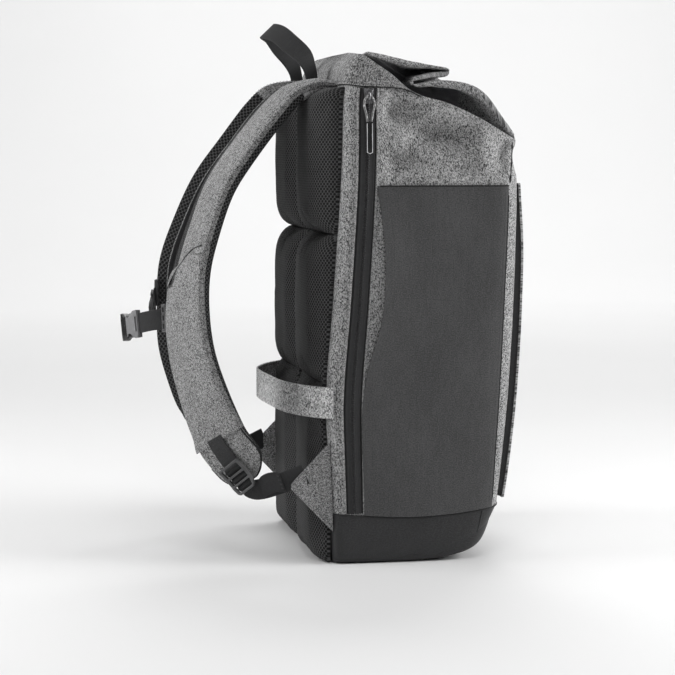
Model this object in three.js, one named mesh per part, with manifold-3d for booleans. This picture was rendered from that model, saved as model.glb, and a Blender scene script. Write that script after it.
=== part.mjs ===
// Roll-top backpack with a trolley band, standing on its base.
// Millimetres, +Z up. The front of the pack faces -Y and the back panel, which lies against the
// wearer, faces +Y, so the wearer's left is at -X. The origin is on the ground under the base.

import * as THREE from "three";
import { mergeVertices } from "three/addons/utils/BufferGeometryUtils.js";
import Module from "manifold-3d";

const wasm = await Module();
wasm.setup();

// Driving dimensions
const GAP = 0.3; // clearance between pieces that are sewn or pressed together
const CLOTH = 1.8; // wall of the main fabric
const COATED = 1.5; // wall of the coated side panels
const ROLL_CLOTH = 1.5; // wall of the roll top
const BASE_WALL = 2.2; // wall of the base tray
const SEAM_Z = 52; // height of the seam between base and body at the front
const REAR_SQUARENESS = 18; // exponent of the back corners of the section
const FRONT_SQUARENESS = 9; // exponent of the front corners
const WEB_WIDTH = 20; // webbing
const WEB_THICK = 1.4;
const STRAP_COVER = 2;

// Outline of the body by height: back wall, front wall and half of the width
const BODY_LEVELS = [
  { z: 38, rear: 88, front: -78, half: 141 },
  { z: 52, rear: 88.5, front: -79.5, half: 141.5 },
  { z: 100, rear: 91, front: -85, half: 143 },
  { z: 155, rear: 93, front: -90, half: 144 },
  { z: 250, rear: 86, front: -95, half: 145 },
  { z: 355, rear: 79, front: -97.5, half: 144 },
  { z: 390, rear: 77.5, front: -97, half: 142.5 },
  { z: 455, rear: 75, front: -93, half: 140 },
  { z: 472, rear: 71, front: -92, half: 139 },
  { z: 485, rear: 59.5, front: -91, half: 138 },
];

// Outline of the base tray, which is flat where it stands and rolls up towards the front
const BASE_LEVELS = [
  { z: 0, rear: 85, front: -15, half: 133 },
  { z: 3, rear: 87, front: -28, half: 138 },
  { z: 10, rear: 87.5, front: -45, half: 140 },
  { z: 26, rear: 88, front: -65, half: 141 },
  { z: SEAM_Z, rear: 88.5, front: -79.5, half: 141.5 },
];

// Seam between the base and the body, and upper edge of the body, from the front to the back
const SEAM_LEVELS = [
  { along: 0, z: SEAM_Z },
  { along: 0.3, z: 45 },
  { along: 0.55, z: 43 },
  { along: 0.85, z: 46 },
  { along: 1, z: 48 },
];
const RIM_LEVELS = [
  { along: 0, z: 401 },
  { along: 0.08, z: 408 },
  { along: 0.25, z: 425 },
  { along: 0.417, z: 438 },
  { along: 0.584, z: 446 },
  { along: 0.64, z: 451 },
  { along: 0.76, z: 466.5 },
  { along: 0.95, z: 481.5 },
  { along: 1, z: 484.5 },
];

// Roll top, a row for each section: lines of the back and front sheets, half of the width, and how
// far the side folds tuck in. The front sheet doubles back under the flap after the seventh row.
const ROLL_ROWS = [
  { backY: 53, backZ: 485.8, frontY: -89, frontZ: 412, half: 138, tuck: 6 },
  { backY: 47, backZ: 485, frontY: -79, frontZ: 425, half: 138, tuck: 16 },
  { backY: 41, backZ: 484, frontY: -64, frontZ: 443, half: 137.5, tuck: 28 },
  { backY: 35, backZ: 482.8, frontY: -49, frontZ: 454, half: 137, tuck: 38 },
  { backY: 29, backZ: 481.6, frontY: -31, frontZ: 458.5, half: 136, tuck: 46 },
  { backY: 23, backZ: 480.4, frontY: -8, frontZ: 458, half: 135, tuck: 52 },
  { backY: 18, backZ: 479.3, frontY: 9, frontZ: 453, half: 135, tuck: 57 },
  { backY: 12, backZ: 478, frontY: 12, frontZ: 457.5, half: 135, tuck: 60 },
  { backY: 3, backZ: 476.5, frontY: 3, frontZ: 461.5, half: 135, tuck: 62 },
  { backY: -10, backZ: 474, frontY: -10, frontZ: 463.5, half: 134, tuck: 64 },
  { backY: -24, backZ: 471.5, frontY: -23, frontZ: 462.3, half: 134, tuck: 66 },
];
const FOLD_DROP = 3.8; // from a sheet to the tucked side fold under it

// Free rear edge of the side pockets, by height
const PANEL_EDGE = [
  { z: 54, along: 0.815 },
  { z: 165, along: 0.815 },
  { z: 195, along: 0.793 },
  { z: 235, along: 0.749 },
  { z: 300, along: 0.756 },
  { z: 360, along: 0.812 },
];
const PANEL_FRONT = 0.112;
const PANEL_TOP = 360;
const PANEL_RISE = 1.5; // from the base seam
const PANEL_LIFT = 0.5; // clearance over the facets of the body
const POCKET_GAPE = 4; // how far the free edge stands off the body

// Zip along the wearer's left side
const ZIP = { rear: 0.908, front: 0.83, bottom: 49, top: 452, tape: 0.9, chain: 1.2 };
const ZIP_CHAIN_HALF = 0.012; // half of the chain's width, as a share of the depth

// Front pocket
const POCKET = { half: 124, bottom: 58, top: 362, rim: 3.6, bulge: 3.4, face: 2 };

// Back pads in rows, from the top down: height range and the plane of the crown
const PAD_ROWS = [
  { name: "upper", bottom: 316, top: 447, crown: 104, foot: 24 },
  { name: "middle", bottom: 175, top: 313, crown: 105, foot: 24 },
  { name: "lower", bottom: 1, top: 172, crown: 104.5, foot: 13 },
];
const PAD_ROUND = 24; // reach of the rounded edges, but for the foot of each pad
const PAD_INNER = 7; // from the middle of the back to the pads
const PAD_OUTER = 130;
const PAD_EDGE = 2.5;

// Centre line of the left shoulder strap's face, from the seam at the back to the buckle end.
// turn rolls the left strap about its own line. The right strap has its own roll and hangs higher.
const STRAP_ROWS = [
  { x: 62, y: 75.5, z: 457, half: 30, foam: 5, turn: 0, turnRight: 0, rise: 0 },
  { x: 62.5, y: 92, z: 459.5, half: 31, foam: 8, turn: 1, turnRight: 3, rise: 0 },
  { x: 64, y: 112, z: 452.5, half: 32, foam: 10, turn: 4, turnRight: 8, rise: 0 },
  { x: 66, y: 130.5, z: 435, half: 32.5, foam: 10, turn: 7, turnRight: 13, rise: 0 },
  { x: 69, y: 161.5, z: 398, half: 33, foam: 10, turn: 8, turnRight: 17, rise: 0 },
  { x: 72, y: 187, z: 361, half: 33, foam: 10, turn: 9, turnRight: 18, rise: 0 },
  { x: 75.5, y: 203.5, z: 320, half: 33, foam: 10, turn: 11, turnRight: 18, rise: 0 },
  { x: 79, y: 214.5, z: 280, half: 33, foam: 10, turn: 14, turnRight: 19, rise: 0 },
  { x: 83, y: 220.5, z: 240, half: 33, foam: 10, turn: 21, turnRight: 21, rise: 0 },
  { x: 88, y: 217.5, z: 197, half: 32.5, foam: 10, turn: 25, turnRight: 25, rise: 2 },
  { x: 94, y: 206.5, z: 155, half: 31, foam: 10, turn: 32, turnRight: 32, rise: 8 },
  { x: 101, y: 192, z: 119, half: 28.5, foam: 9, turn: 44, turnRight: 44, rise: 16 },
  { x: 107.5, y: 175.5, z: 94, half: 23, foam: 7, turn: 52, turnRight: 52, rise: 22 },
  { x: 111.5, y: 163.5, z: 78, half: 14.5, foam: 5, turn: 56, turnRight: 56, rise: 26 },
];
const STRAP_STEPS = 22;
const STRAP_STRIDE = 30; // length of a step on the line past its last row
const STRAP_POCKET = { from: 7.25, slant: 0.75, to: 11.1, gap: 0.7, lift: 1.4 };

// Ladder buckle, its two webs and the wing that holds the lower web
const BUCKLE_AT = 12.5; // place on the strap's line
const BUCKLE_LIFT = 9.2; // from the strap's line to the middle of the buckle
const ANCHOR = { from: 10.95, to: 12.3, left: 5.1, right: 3.1, end: 6.1 }; // lifts off the strap's line
const BUCKLE = { length: 31, width: 27, thick: 3.6, corner: 4, slot: 21.2 };
const WEB_START = [
  { along: -9, out: -3.5 },
  { along: -17, out: -3.8 },
];
const WEB_ROWS = [
  { x: 125.5, y: 149, z: 73.5, wx: 0.15, wy: -0.1, wz: 0.95 },
  { x: 131.5, y: 130, z: 80.5, wx: 0, wy: 0.3, wz: 0.95 },
  { x: 137.2, y: 113, z: 87.5, wx: 0, wy: 0.4, wz: 0.9 },
];
const WEB_TAIL = { from: 1.8, to: 2.8, lift: 2.5 };
const WING = { along: 0.972, top: 117, bottom: 31, tipX: 138.5, tipY: 127, tipZ: 76, thick: 2.2 };

// Top handle, half of it from the seam to the crown, with the direction of its width
const HANDLE_ROWS = [
  { x: 46, y: 73.9, z: 463.5, wx: 1, wy: 0, wz: 0 },
  { x: 46, y: 85, z: 466, wx: 0.98, wy: -0.1, wz: 0.1 },
  { x: 45.5, y: 94, z: 472, wx: 0.8, wy: -0.45, wz: 0.4 },
  { x: 42.5, y: 100.5, z: 486, wx: 0.35, wy: -0.7, wz: 0.62 },
  { x: 33, y: 111, z: 497, wx: 0.05, wy: -0.72, wz: 0.69 },
  { x: 18, y: 120.5, z: 507, wx: 0, wy: -0.72, wz: 0.69 },
];
const HANDLE_CROWN = { x: 0, y: 128.5, z: 510.5, wx: 0, wy: -0.72, wz: 0.69 };
const HANDLE_THICK = 2.2;

// Trolley band in plan, from the left side seam to the right one
const BAND_ROWS = [
  { x: -142.6, y: 87.2 },
  { x: -136, y: 95.5 },
  { x: -113, y: 110.5 },
  { x: -84, y: 121.5 },
  { x: -62, y: 126 },
  { x: -31, y: 128.5 },
  { x: 0, y: 130.5 },
  { x: 31, y: 132 },
  { x: 62, y: 131 },
  { x: 84, y: 125.5 },
  { x: 113, y: 112.5 },
  { x: 136, y: 95.8 },
  { x: 142.6, y: 87.2 },
];
const BAND = { z: 155, half: 15, thick: 2 };

// Chest strap: place on the shoulder strap's line, and the headings at which its web leaves the
// strap's inner edge and reaches the clip, from the strap's width towards its face
const CHEST = {
  left: { at: 8.2, web: 30, leave: 58, arrive: 12 },
  right: { at: 7.55, web: 14, leave: 5, arrive: -8 },
};
const SLIDER = { length: 27, depth: 7.5, thick: 4.2, hole: 4.2 };
const SOCKET = { length: 24, width: 27, thick: 7.6, mouth: 20.5, bore: 3.6, waist: 2.6 };

// Zip slider and its cord pull
const PULL = { z: 444, slider: 14, cord: 2.2, loop: 24, spread: 4.6, grip: 30, gripHalf: 3 };

const X_AXIS = new THREE.Vector3(1, 0, 0);
const Z_AXIS = new THREE.Vector3(0, 0, 1);
const { lerp, clamp, degToRad } = THREE.MathUtils;
const vector = ({ x, y, z }) => new THREE.Vector3(x, y, z);
const range = (count) => Array.from({ length: count }, (_, i) => i);
const steps = (count, from = 0, to = 1) =>
  range(count + 1).map((i) => lerp(from, to, i / count));

// Materials
const finish = (color, roughness, metalness = 0) =>
  new THREE.MeshStandardMaterial({ color, roughness, metalness });
const HEATHER = finish(0x77787a, 0.95);
const COATED_BLACK = finish(0x3a3a3b, 0.6);
const MESH_BLACK = finish(0x232324, 0.95);
const WEB_BLACK = finish(0x2b2b2c, 0.85);
const PLASTIC_BLACK = finish(0x303031, 0.45);
const ZIP_BLACK = finish(0x2a2a2b, 0.7);
const SLIDER_METAL = finish(0x55575a, 0.35, 0.9);
const CORD_GREY = finish(0x5c5d5f, 0.8);

// Smooth columns of a table: a function from the key, or the row number, to the other columns
function smooth(rows, key = null) {
  const columns = Object.keys(rows[0]).filter((name) => name !== key);
  const places = rows.map((row, i) => (key ? row[key] : i));
  const values = rows.flatMap((row) => columns.map((name) => row[name]));
  const spline = new THREE.CubicInterpolant(places, values, columns.length);
  return (at) => {
    const result = spline.evaluate(at);
    return Object.fromEntries(columns.map((name, i) => [name, result[i]]));
  };
}

const bodyAt = smooth(BODY_LEVELS, "z");
const rimLine = smooth(RIM_LEVELS, "along");
const seamLine = smooth(SEAM_LEVELS, "along");
const rimAt = (along) => rimLine(along).z;
const seamAt = (along) => seamLine(along).z;

// Closed geometry from points and triangles, with its faces turned outwards
function solid(points, triangles) {
  const volume = triangles.reduce((sum, [a, b, c]) => {
    const normal = new THREE.Vector3().crossVectors(points[b], points[c]);
    return sum + points[a].dot(normal);
  }, 0);
  const index = triangles.flatMap(([a, b, c]) => (volume < 0 ? [a, c, b] : [a, b, c]));
  return new THREE.BufferGeometry().setFromPoints(points).setIndex(index);
}

// Solid through closed rings with as many points each. The end rings are closed by fans, or the
// last ring is joined to the first.
function loft(rings, joined = false) {
  const count = rings[0].length;
  const points = rings.flat();
  const triangles = [];
  const spans = joined ? rings.length : rings.length - 1;
  for (let i = 0; i < spans; i++) {
    const low = i * count;
    const high = ((i + 1) % rings.length) * count;
    for (let j = 0; j < count; j++) {
      const k = (j + 1) % count;
      triangles.push([low + j, low + k, high + k], [low + j, high + k, high + j]);
    }
  }
  if (!joined) {
    for (const end of [0, rings.length - 1]) {
      const centre = points.length;
      const middle = new THREE.Vector3();
      rings[end].forEach((p) => middle.addScaledVector(p, 1 / count));
      points.push(middle);
      for (let j = 0; j < count; j++) {
        const a = end * count + j;
        const b = end * count + ((j + 1) % count);
        triangles.push(end ? [centre, a, b] : [centre, b, a]);
      }
    }
  }
  return solid(points, triangles);
}

// Solid between two grids of points of the same shape
function slab(top, bottom) {
  const rows = top.length;
  const columns = top[0].length;
  const points = [...top.flat(), ...bottom.flat()];
  const under = rows * columns;
  const at = (i, j) => i * columns + j;
  const triangles = [];
  const quad = (a, b, c, d) => triangles.push([a, b, c], [a, c, d]);
  for (let i = 0; i + 1 < rows; i++) {
    for (let j = 0; j + 1 < columns; j++) {
      const corners = [at(i, j), at(i + 1, j), at(i + 1, j + 1), at(i, j + 1)];
      quad(...corners);
      quad(...corners.map((corner) => corner + under).reverse());
    }
  }
  const border = [
    ...range(columns).map((j) => at(0, j)),
    ...range(rows).slice(1).map((i) => at(i, columns - 1)),
    ...range(columns).reverse().slice(1).map((j) => at(rows - 1, j)),
    ...range(rows).reverse().slice(1, -1).map((i) => at(i, 0)),
  ];
  border.forEach((a, i) => {
    const b = border[(i + 1) % border.length];
    quad(a, b, b + under, a + under);
  });
  return solid(points, triangles);
}

const flipX = (p) => new THREE.Vector3(-p.x, p.y, p.z);
const mirrorGrid = (grid) => grid.map((row) => row.map(flipX));

// Joins and cuts
function manifold(geometry) {
  const plain = geometry.clone();
  plain.deleteAttribute("normal");
  plain.deleteAttribute("uv");
  const merged = mergeVertices(plain, 1e-4);
  return new wasm.Manifold(
    new wasm.Mesh({
      numProp: 3,
      vertProperties: merged.attributes.position.array,
      triVerts: new Uint32Array(merged.index.array),
    }),
  );
}

function geometryOf(body) {
  const mesh = body.getMesh();
  return new THREE.BufferGeometry()
    .setAttribute("position", new THREE.BufferAttribute(mesh.vertProperties, 3))
    .setIndex(new THREE.BufferAttribute(mesh.triVerts, 1));
}

const box = (width, depth, height, x = 0, y = 0, z = 0) =>
  manifold(new THREE.BoxGeometry(width, depth, height).translate(x, y, z));

// Section of the body in unit form: across runs from -1 to 1 and along from the front, 0, to the
// back, 1. The same places are used at every height.
const SIDE_POINTS = 12;
const FACE_POINTS = 9;
const squareness = (along) => (along > 0.5 ? REAR_SQUARENESS : FRONT_SQUARENESS);
const rounded = (share, power) => (1 - Math.abs(share) ** power) ** (1 / power);
const sideAcross = (along) => rounded(2 * along - 1, squareness(along));

function sectionPlaces() {
  const side = steps(SIDE_POINTS - 1).map((share) => {
    const along = lerp(0.02, 0.99, 0.5 - 0.5 * Math.cos(Math.PI * share));
    return { across: sideAcross(along), along };
  });
  const face = (reach, power, sign) =>
    steps(FACE_POINTS - 1, reach, -reach).map((across) => {
      return { across, along: 0.5 + (0.5 * sign) * rounded(across, power) };
    });
  const other = side.map(({ across, along }) => ({ across: -across, along })).reverse();
  return [
    ...side,
    ...face(0.84, REAR_SQUARENESS, 1),
    ...other,
    ...face(-0.68, FRONT_SQUARENESS, -1),
  ];
}
const SECTION = sectionPlaces();

function levelPoint(level, { across, along }, z, inset = 0) {
  const rear = level.rear - inset;
  const front = level.front + inset;
  return new THREE.Vector3(across * (level.half - inset), lerp(front, rear, along), z);
}

const bodyPoint = (place, z, inset = 0) => levelPoint(bodyAt(z), place, z, inset);

// Point on the wearer's left side, lifted off the wall
function leftSide(along, z, lift) {
  const place = (share, height) => bodyPoint({ across: -sideAcross(share), along: share }, height);
  const reach = 0.004;
  const towardsRear = place(Math.min(along + reach, 0.995), z).sub(place(along - reach, z));
  const upwards = place(along, z + 1).sub(place(along, z - 1));
  const normal = new THREE.Vector3().crossVectors(upwards, towardsRear).normalize();
  if (normal.x > 0) normal.negate();
  return place(along, z).addScaledVector(normal, lift);
}

const wallY = (x, z, sign) => {
  const { rear, front, half } = bodyAt(z);
  const reach = rounded(x / half, sign > 0 ? REAR_SQUARENESS : FRONT_SQUARENESS);
  return (rear + front) / 2 + (sign * reach * (rear - front)) / 2;
};

// Main body: an open tube of cloth between the base seam and the fold of the roll top
function bodyShell() {
  const ring = (share, inset) =>
    SECTION.map((place) => {
      const z = lerp(seamAt(place.along), rimAt(place.along), share);
      return bodyPoint(place, z, inset);
    });
  const shares = [0, 0.13, 0.3, 0.5, 0.7, 0.86, 0.935, 0.972, 1];
  const outer = shares.map((share) => ring(share, 0));
  const inner = shares.map((share) => ring(share, CLOTH)).reverse();
  return loft([...outer, ...inner], true);
}

function baseTray() {
  const ring = (level, inset) =>
    SECTION.map((place) => {
      const outer = (level.z / SEAM_Z) * (seamAt(place.along) - GAP);
      const z = inset ? lerp(inset, outer, level.z / SEAM_Z) : outer;
      return levelPoint(level, place, z, inset);
    });
  const outer = BASE_LEVELS.map((level) => ring(level, 0));
  const inner = BASE_LEVELS.map((level) => ring(level, BASE_WALL)).reverse();
  return loft([...outer, ...inner]);
}

// Ring of the roll top at one row: back sheet, tucked side fold, front sheet and the other fold
function rollRing({ backY, backZ, frontY, frontZ, half, tuck }) {
  const back = new THREE.Vector2(backY, backZ);
  const front = new THREE.Vector2(frontY, frontZ);
  const drop = front.clone().sub(back).setLength(FOLD_DROP);
  const lower = back.clone().add(drop);
  const upper = front.clone().sub(drop);
  const middle = back.clone().add(front).multiplyScalar(0.5);
  const slit = drop.clone().setLength(0.8);
  const stations = [
    { at: 0, x: half, line: front },
    { at: 1, x: half, line: upper },
    { at: 5, x: half - tuck, line: middle.clone().add(slit) },
    { at: 6, x: half - tuck, line: middle.clone().sub(slit) },
    { at: 10, x: half, line: lower },
    { at: 11, x: half, line: back },
  ];
  const side = range(SIDE_POINTS).map((i) => {
    const next = Math.max(1, stations.findIndex((station) => station.at >= i));
    const [a, b] = [stations[next - 1], stations[next]];
    const share = (i - a.at) / (b.at - a.at);
    const line = a.line.clone().lerp(b.line, share);
    return new THREE.Vector3(lerp(a.x, b.x, share), line.x, line.y);
  });
  const sheet = (line, from) =>
    steps(FACE_POINTS + 1, from, -from)
      .slice(1, -1)
      .map((x) => new THREE.Vector3(x, line.x, line.y));
  return [...side, ...sheet(back, half), ...side.map(flipX).reverse(), ...sheet(front, -half)];
}

// Outward normals of a grid of rings, by differences
function ringNormals(rings) {
  const count = rings[0].length;
  return rings.map((ring, i) => {
    const before = rings[Math.max(i - 1, 0)];
    const after = rings[Math.min(i + 1, rings.length - 1)];
    return ring.map((_, j) => {
      const round = ring[(j + 1) % count].clone().sub(ring[(j + count - 1) % count]);
      const upwards = after[j].clone().sub(before[j]);
      return round.cross(upwards).normalize();
    });
  });
}

function rollTop() {
  const rim = (inset) =>
    SECTION.map((place) => {
      const z = rimAt(place.along);
      return bodyPoint(place, z, inset).setZ(z + GAP);
    });
  const outer = [rim(0), ...ROLL_ROWS.map(rollRing)];
  const normals = ringNormals(outer);
  const inner = outer.map((ring, i) => {
    if (!i) return rim(ROLL_CLOTH);
    return ring.map((p, j) => p.clone().addScaledVector(normals[i][j], -ROLL_CLOTH));
  });
  return loft([...outer, ...inner.reverse()], true);
}

// Coated side panel, a pocket whose rear edge stands open. Its columns crowd at the front corner.
function sidePanel() {
  const edgeAt = smooth(PANEL_EDGE, "z");
  const columns = steps(9).map((share) => Math.sin((share * Math.PI) / 2));
  const grid = (lift) =>
    steps(9).map((height) => {
      const rear = edgeAt(lerp(SEAM_Z, PANEL_TOP, height)).along;
      const open = clamp((0.815 - rear) / 0.075, 0, 1);
      return columns.map((share) => {
        const near = clamp(1 - (share * (rear - PANEL_FRONT)) / 0.3, 0, 1);
        const along = lerp(rear, PANEL_FRONT, share);
        const z = lerp(seamAt(along) + PANEL_RISE, PANEL_TOP, height);
        return leftSide(along, z, lift + POCKET_GAPE * open * near * near);
      });
    });
  return [grid(PANEL_LIFT + COATED), grid(PANEL_LIFT)];
}

function zipStrip(rear, front, from, to) {
  const grid = (lift) =>
    steps(12, ZIP.bottom, ZIP.top).map((z) =>
      steps(2, rear, front).map((along) => leftSide(along, z, lift)),
    );
  return slab(grid(to), grid(from));
}

// Front pocket: a dark gusset and a face sheet over it
function frontPocket() {
  const faceY = (x, z) => {
    const rise = Math.sin((Math.PI * (z - POCKET.bottom)) / (POCKET.top - POCKET.bottom));
    const dome = 1 - 0.3 * Math.abs(x / POCKET.half) ** 4;
    return bodyAt(z).front - POCKET.rim - POCKET.bulge * Math.max(rise, 0) ** 0.7 * dome;
  };
  const grid = (inset, depth) =>
    steps(7, POCKET.bottom + inset, POCKET.top - inset).map((z) =>
      steps(8, -1, 1).map((share) => {
        const x = (POCKET.half - inset) * Math.sin((share * Math.PI) / 2);
        return new THREE.Vector3(x, depth(x, z), z);
      }),
    );
  const against = (x, z) => wallY(x, z, -1) - PANEL_LIFT;
  const behind = (x, z) => faceY(x, z) + POCKET.face + GAP;
  return {
    gusset: slab(grid(1.5, behind), grid(1.5, against)),
    face: slab(grid(0, faceY), grid(0, (x, z) => faceY(x, z) + POCKET.face)),
  };
}

// Back pad: a crowned cushion on the back wall
function backPad({ bottom, top, crown, foot }, side) {
  const edge = [0, 0.3, 1];
  const places = (size, low) => [
    ...edge.map((share) => share * low),
    (size + low - PAD_ROUND) / 2,
    ...edge.map((share) => size - share * PAD_ROUND).reverse(),
  ];
  const round = (place, size, low) => {
    const inside = Math.min(place / low, (size - place) / PAD_ROUND, 1);
    return Math.sqrt(1 - (1 - inside) ** 2);
  };
  const [width, height] = [PAD_OUTER - PAD_INNER, top - bottom];
  const grid = (depth) =>
    places(height, foot).map((v) =>
      places(width, PAD_ROUND).map((u) => {
        const x = side * (PAD_INNER + u);
        const z = bottom + v;
        const wall = wallY(x, Math.max(z, SEAM_Z), 1) + PANEL_LIFT;
        const share = round(u, width, PAD_ROUND) * round(v, height, foot);
        return new THREE.Vector3(x, wall + depth * lerp(PAD_EDGE, crown - wall, share), z);
      }),
    );
  return slab(grid(1), grid(0));
}

// Frame of a shoulder strap at a place on its line. side is -1 on the left and 1 on the right.
const strapLine = smooth(STRAP_ROWS);
function strapFrame(side, at) {
  const end = STRAP_ROWS.length - 1;
  const inside = clamp(at, 0, end);
  const place = (where) => {
    const { x, y, z, rise } = strapLine(clamp(where, 0, end));
    return new THREE.Vector3(side * x, y, side < 0 ? z : z + rise);
  };
  const { half, foam, turn, turnRight } = strapLine(inside);
  const tangent = place(inside + 0.02).sub(place(inside - 0.02)).normalize();
  if (at <= 0) tangent.set(0, 1, 0);
  const across = X_AXIS.clone().addScaledVector(tangent, -tangent.x).normalize();
  const out = across.clone().cross(tangent);
  const roll = side * degToRad(side < 0 ? turn : turnRight);
  across.applyAxisAngle(tangent, roll);
  out.applyAxisAngle(tangent, roll);
  const point = place(inside).addScaledVector(tangent, Math.max(at - end, 0) * STRAP_STRIDE);
  return { point, tangent, across, out, half, foam };
}

const strapPoint = ({ point, across, out }, sideways, height) =>
  point.clone().addScaledVector(across, sideways).addScaledVector(out, height);

function strapPad(side) {
  const rings = steps(STRAP_STEPS, 0, STRAP_ROWS.length - 1).map((at) => {
    const frame = strapFrame(side, at);
    const { half, foam } = frame;
    const section = [
      [-half, -0.15],
      [0, -0.15],
      [half, -0.15],
      [half + 0.6, -0.45 * foam],
      [half - 2.5, -0.85 * foam],
      [0.5 * half, -foam],
      [-0.5 * half, -foam],
      [2.5 - half, -0.85 * foam],
      [-half - 0.6, -0.45 * foam],
    ];
    return section.map(([sideways, height]) => strapPoint(frame, sideways, height));
  });
  return loft(rings);
}

function strapCover(side) {
  const rings = steps(STRAP_STEPS, 0, STRAP_ROWS.length - 1).map((at) => {
    const frame = strapFrame(side, at);
    const edge = frame.half + 0.8;
    const section = [
      [-edge, 0.15],
      [0, 0.15],
      [edge, 0.15],
      [edge, 0.6 * STRAP_COVER],
      [0.7 * edge, STRAP_COVER],
      [0, STRAP_COVER],
      [-0.7 * edge, STRAP_COVER],
      [-edge, 0.6 * STRAP_COVER],
    ];
    return section.map(([sideways, height]) => strapPoint(frame, sideways, height));
  });
  return loft(rings);
}

// Slit pocket over the lower part of the left strap, with a slanting upper edge
function strapPocket() {
  const { from, slant, to, gap, lift } = STRAP_POCKET;
  const grid = (height) =>
    steps(8).map((share) =>
      steps(4, -1, 1).map((edge) => {
        const at = lerp(from + slant * edge, to, share);
        const frame = strapFrame(-1, at);
        const crown = 0.8 * STRAP_COVER * Math.max(0, Math.abs(edge) - 0.7);
        return strapPoint(frame, edge * (frame.half + 0.8), STRAP_COVER + height - crown);
      }),
    );
  return slab(grid(gap + lift), grid(gap));
}

// Flat band along rows that give its middle and the direction of its width
function band(rows, count, width, thick, { from = 0, to = rows.length - 1, lift = 0 } = {}) {
  const line = smooth(rows);
  const end = rows.length - 1;
  return steps(count, from, to).map((at) => {
    const here = line(at);
    const after = vector(line(Math.min(at + 0.05, end)));
    const tangent = after.sub(vector(line(Math.max(at - 0.05, 0)))).normalize();
    const across = new THREE.Vector3(here.wx, here.wy, here.wz);
    across.addScaledVector(tangent, -across.dot(tangent)).normalize();
    const out = across.clone().cross(tangent);
    const corner = (sideways, height) =>
      vector(here)
        .addScaledVector(across, (sideways * width) / 2)
        .addScaledVector(out, lift + (height * thick) / 2);
    return [corner(-1, -1), corner(1, -1), corner(1, 1), corner(-1, 1)];
  });
}

const sided = (rows, side) =>
  rows.map((row) => ({ ...row, x: side * row.x, wx: side * (row.wx ?? 0) }));

function handle() {
  const left = HANDLE_ROWS.map((row) => ({ ...row, x: -row.x }));
  const rows = [...left, HANDLE_CROWN, ...HANDLE_ROWS.toReversed()];
  return loft(band(rows, 30, WEB_WIDTH, HANDLE_THICK));
}

function trolleyBand() {
  const rows = BAND_ROWS.map((row) => ({ ...row, z: BAND.z, wx: 0, wy: 0, wz: 1 }));
  return loft(band(rows, 36, 2 * BAND.half, BAND.thick));
}

// Wing: a triangle of cloth from the rear side seam to the lower web
function wing(side) {
  const { along, top, bottom, tipX, tipY, tipZ, thick } = WING;
  const tip = new THREE.Vector3(-tipX, tipY, tipZ);
  const grid = (offset) =>
    steps(4).map((share) =>
      steps(4, bottom, top).map((z) => {
        const root = leftSide(along, z, GAP).add(new THREE.Vector3(-thick / 2, 0, 0));
        const end = tip.clone().addScaledVector(Z_AXIS, (z - (top + bottom) / 2) * 0.04);
        return root.lerp(end, share).add(new THREE.Vector3(offset, 0, 0));
      }),
    );
  const grids = [grid(-thick / 2), grid(thick / 2)];
  return slab(...(side < 0 ? grids : grids.map(mirrorGrid)));
}

function roundedRectangle(width, height, corner) {
  const [w, h] = [width / 2, height / 2];
  return new THREE.Shape()
    .moveTo(-w + corner, -h)
    .lineTo(w - corner, -h)
    .absarc(w - corner, -h + corner, corner, -Math.PI / 2, 0)
    .lineTo(w, h - corner)
    .absarc(w - corner, h - corner, corner, 0, Math.PI / 2)
    .lineTo(-w + corner, h)
    .absarc(-w + corner, h - corner, corner, Math.PI / 2, Math.PI)
    .lineTo(-w, -h + corner)
    .absarc(-w + corner, -h + corner, corner, Math.PI, 1.5 * Math.PI);
}

function slot(width, height, x, y) {
  const [w, h] = [width / 2, height / 2];
  const corners = [[-w, -h], [w, -h], [w, h], [-w, h]];
  return new THREE.Path(corners.map(([u, v]) => new THREE.Vector2(x + u, y + v)));
}

const plate = (shape, thick) =>
  new THREE.ExtrudeGeometry(shape, { depth: thick, bevelEnabled: false, curveSegments: 3 })
    .translate(0, 0, -thick / 2);

// Ladder buckle: across X, along Y, with two slots and a middle bar
function ladderBuckle() {
  const { length, width, thick, corner, slot: opening } = BUCKLE;
  const shape = roundedRectangle(width, length, corner);
  shape.holes.push(slot(opening, 7, 0, 7.2), slot(opening, 8, 0, -6));
  return plate(shape, thick);
}

// Chest strap pieces: along X from the strap's edge, width along Y, thickness along Z.
// The web curves in plan from one heading to the other.
function chestRun({ web, leave, arrive }, side) {
  const turn = (heading) => -side * degToRad(heading);
  const count = 10;
  const place = new THREE.Vector3(SLIDER.depth / 2 + GAP + WEB_THICK / 2, 0, 0);
  const rings = steps(count, leave, arrive).map((heading, i) => {
    const angle = turn(heading);
    if (i) place.add(new THREE.Vector3(Math.cos(angle), 0, -Math.sin(angle)).multiplyScalar(web / count));
    const normal = new THREE.Vector3(Math.sin(angle), 0, Math.cos(angle));
    return [[-1, -1], [1, -1], [1, 1], [-1, 1]].map(([u, v]) =>
      place
        .clone()
        .add(new THREE.Vector3(0, (u * WEB_WIDTH) / 2, 0))
        .addScaledVector(normal, (v * WEB_THICK) / 2),
    );
  });
  return { rings, end: place, heading: turn(arrive) };
}

function chestSlider() {
  const { length, depth, thick, hole } = SLIDER;
  const shape = roundedRectangle(depth, length, 2);
  for (const y of [-8, 0, 8]) shape.holes.push(slot(0.6 * hole, 1.3 * hole, 0.6, y));
  return plate(shape, thick);
}

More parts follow.
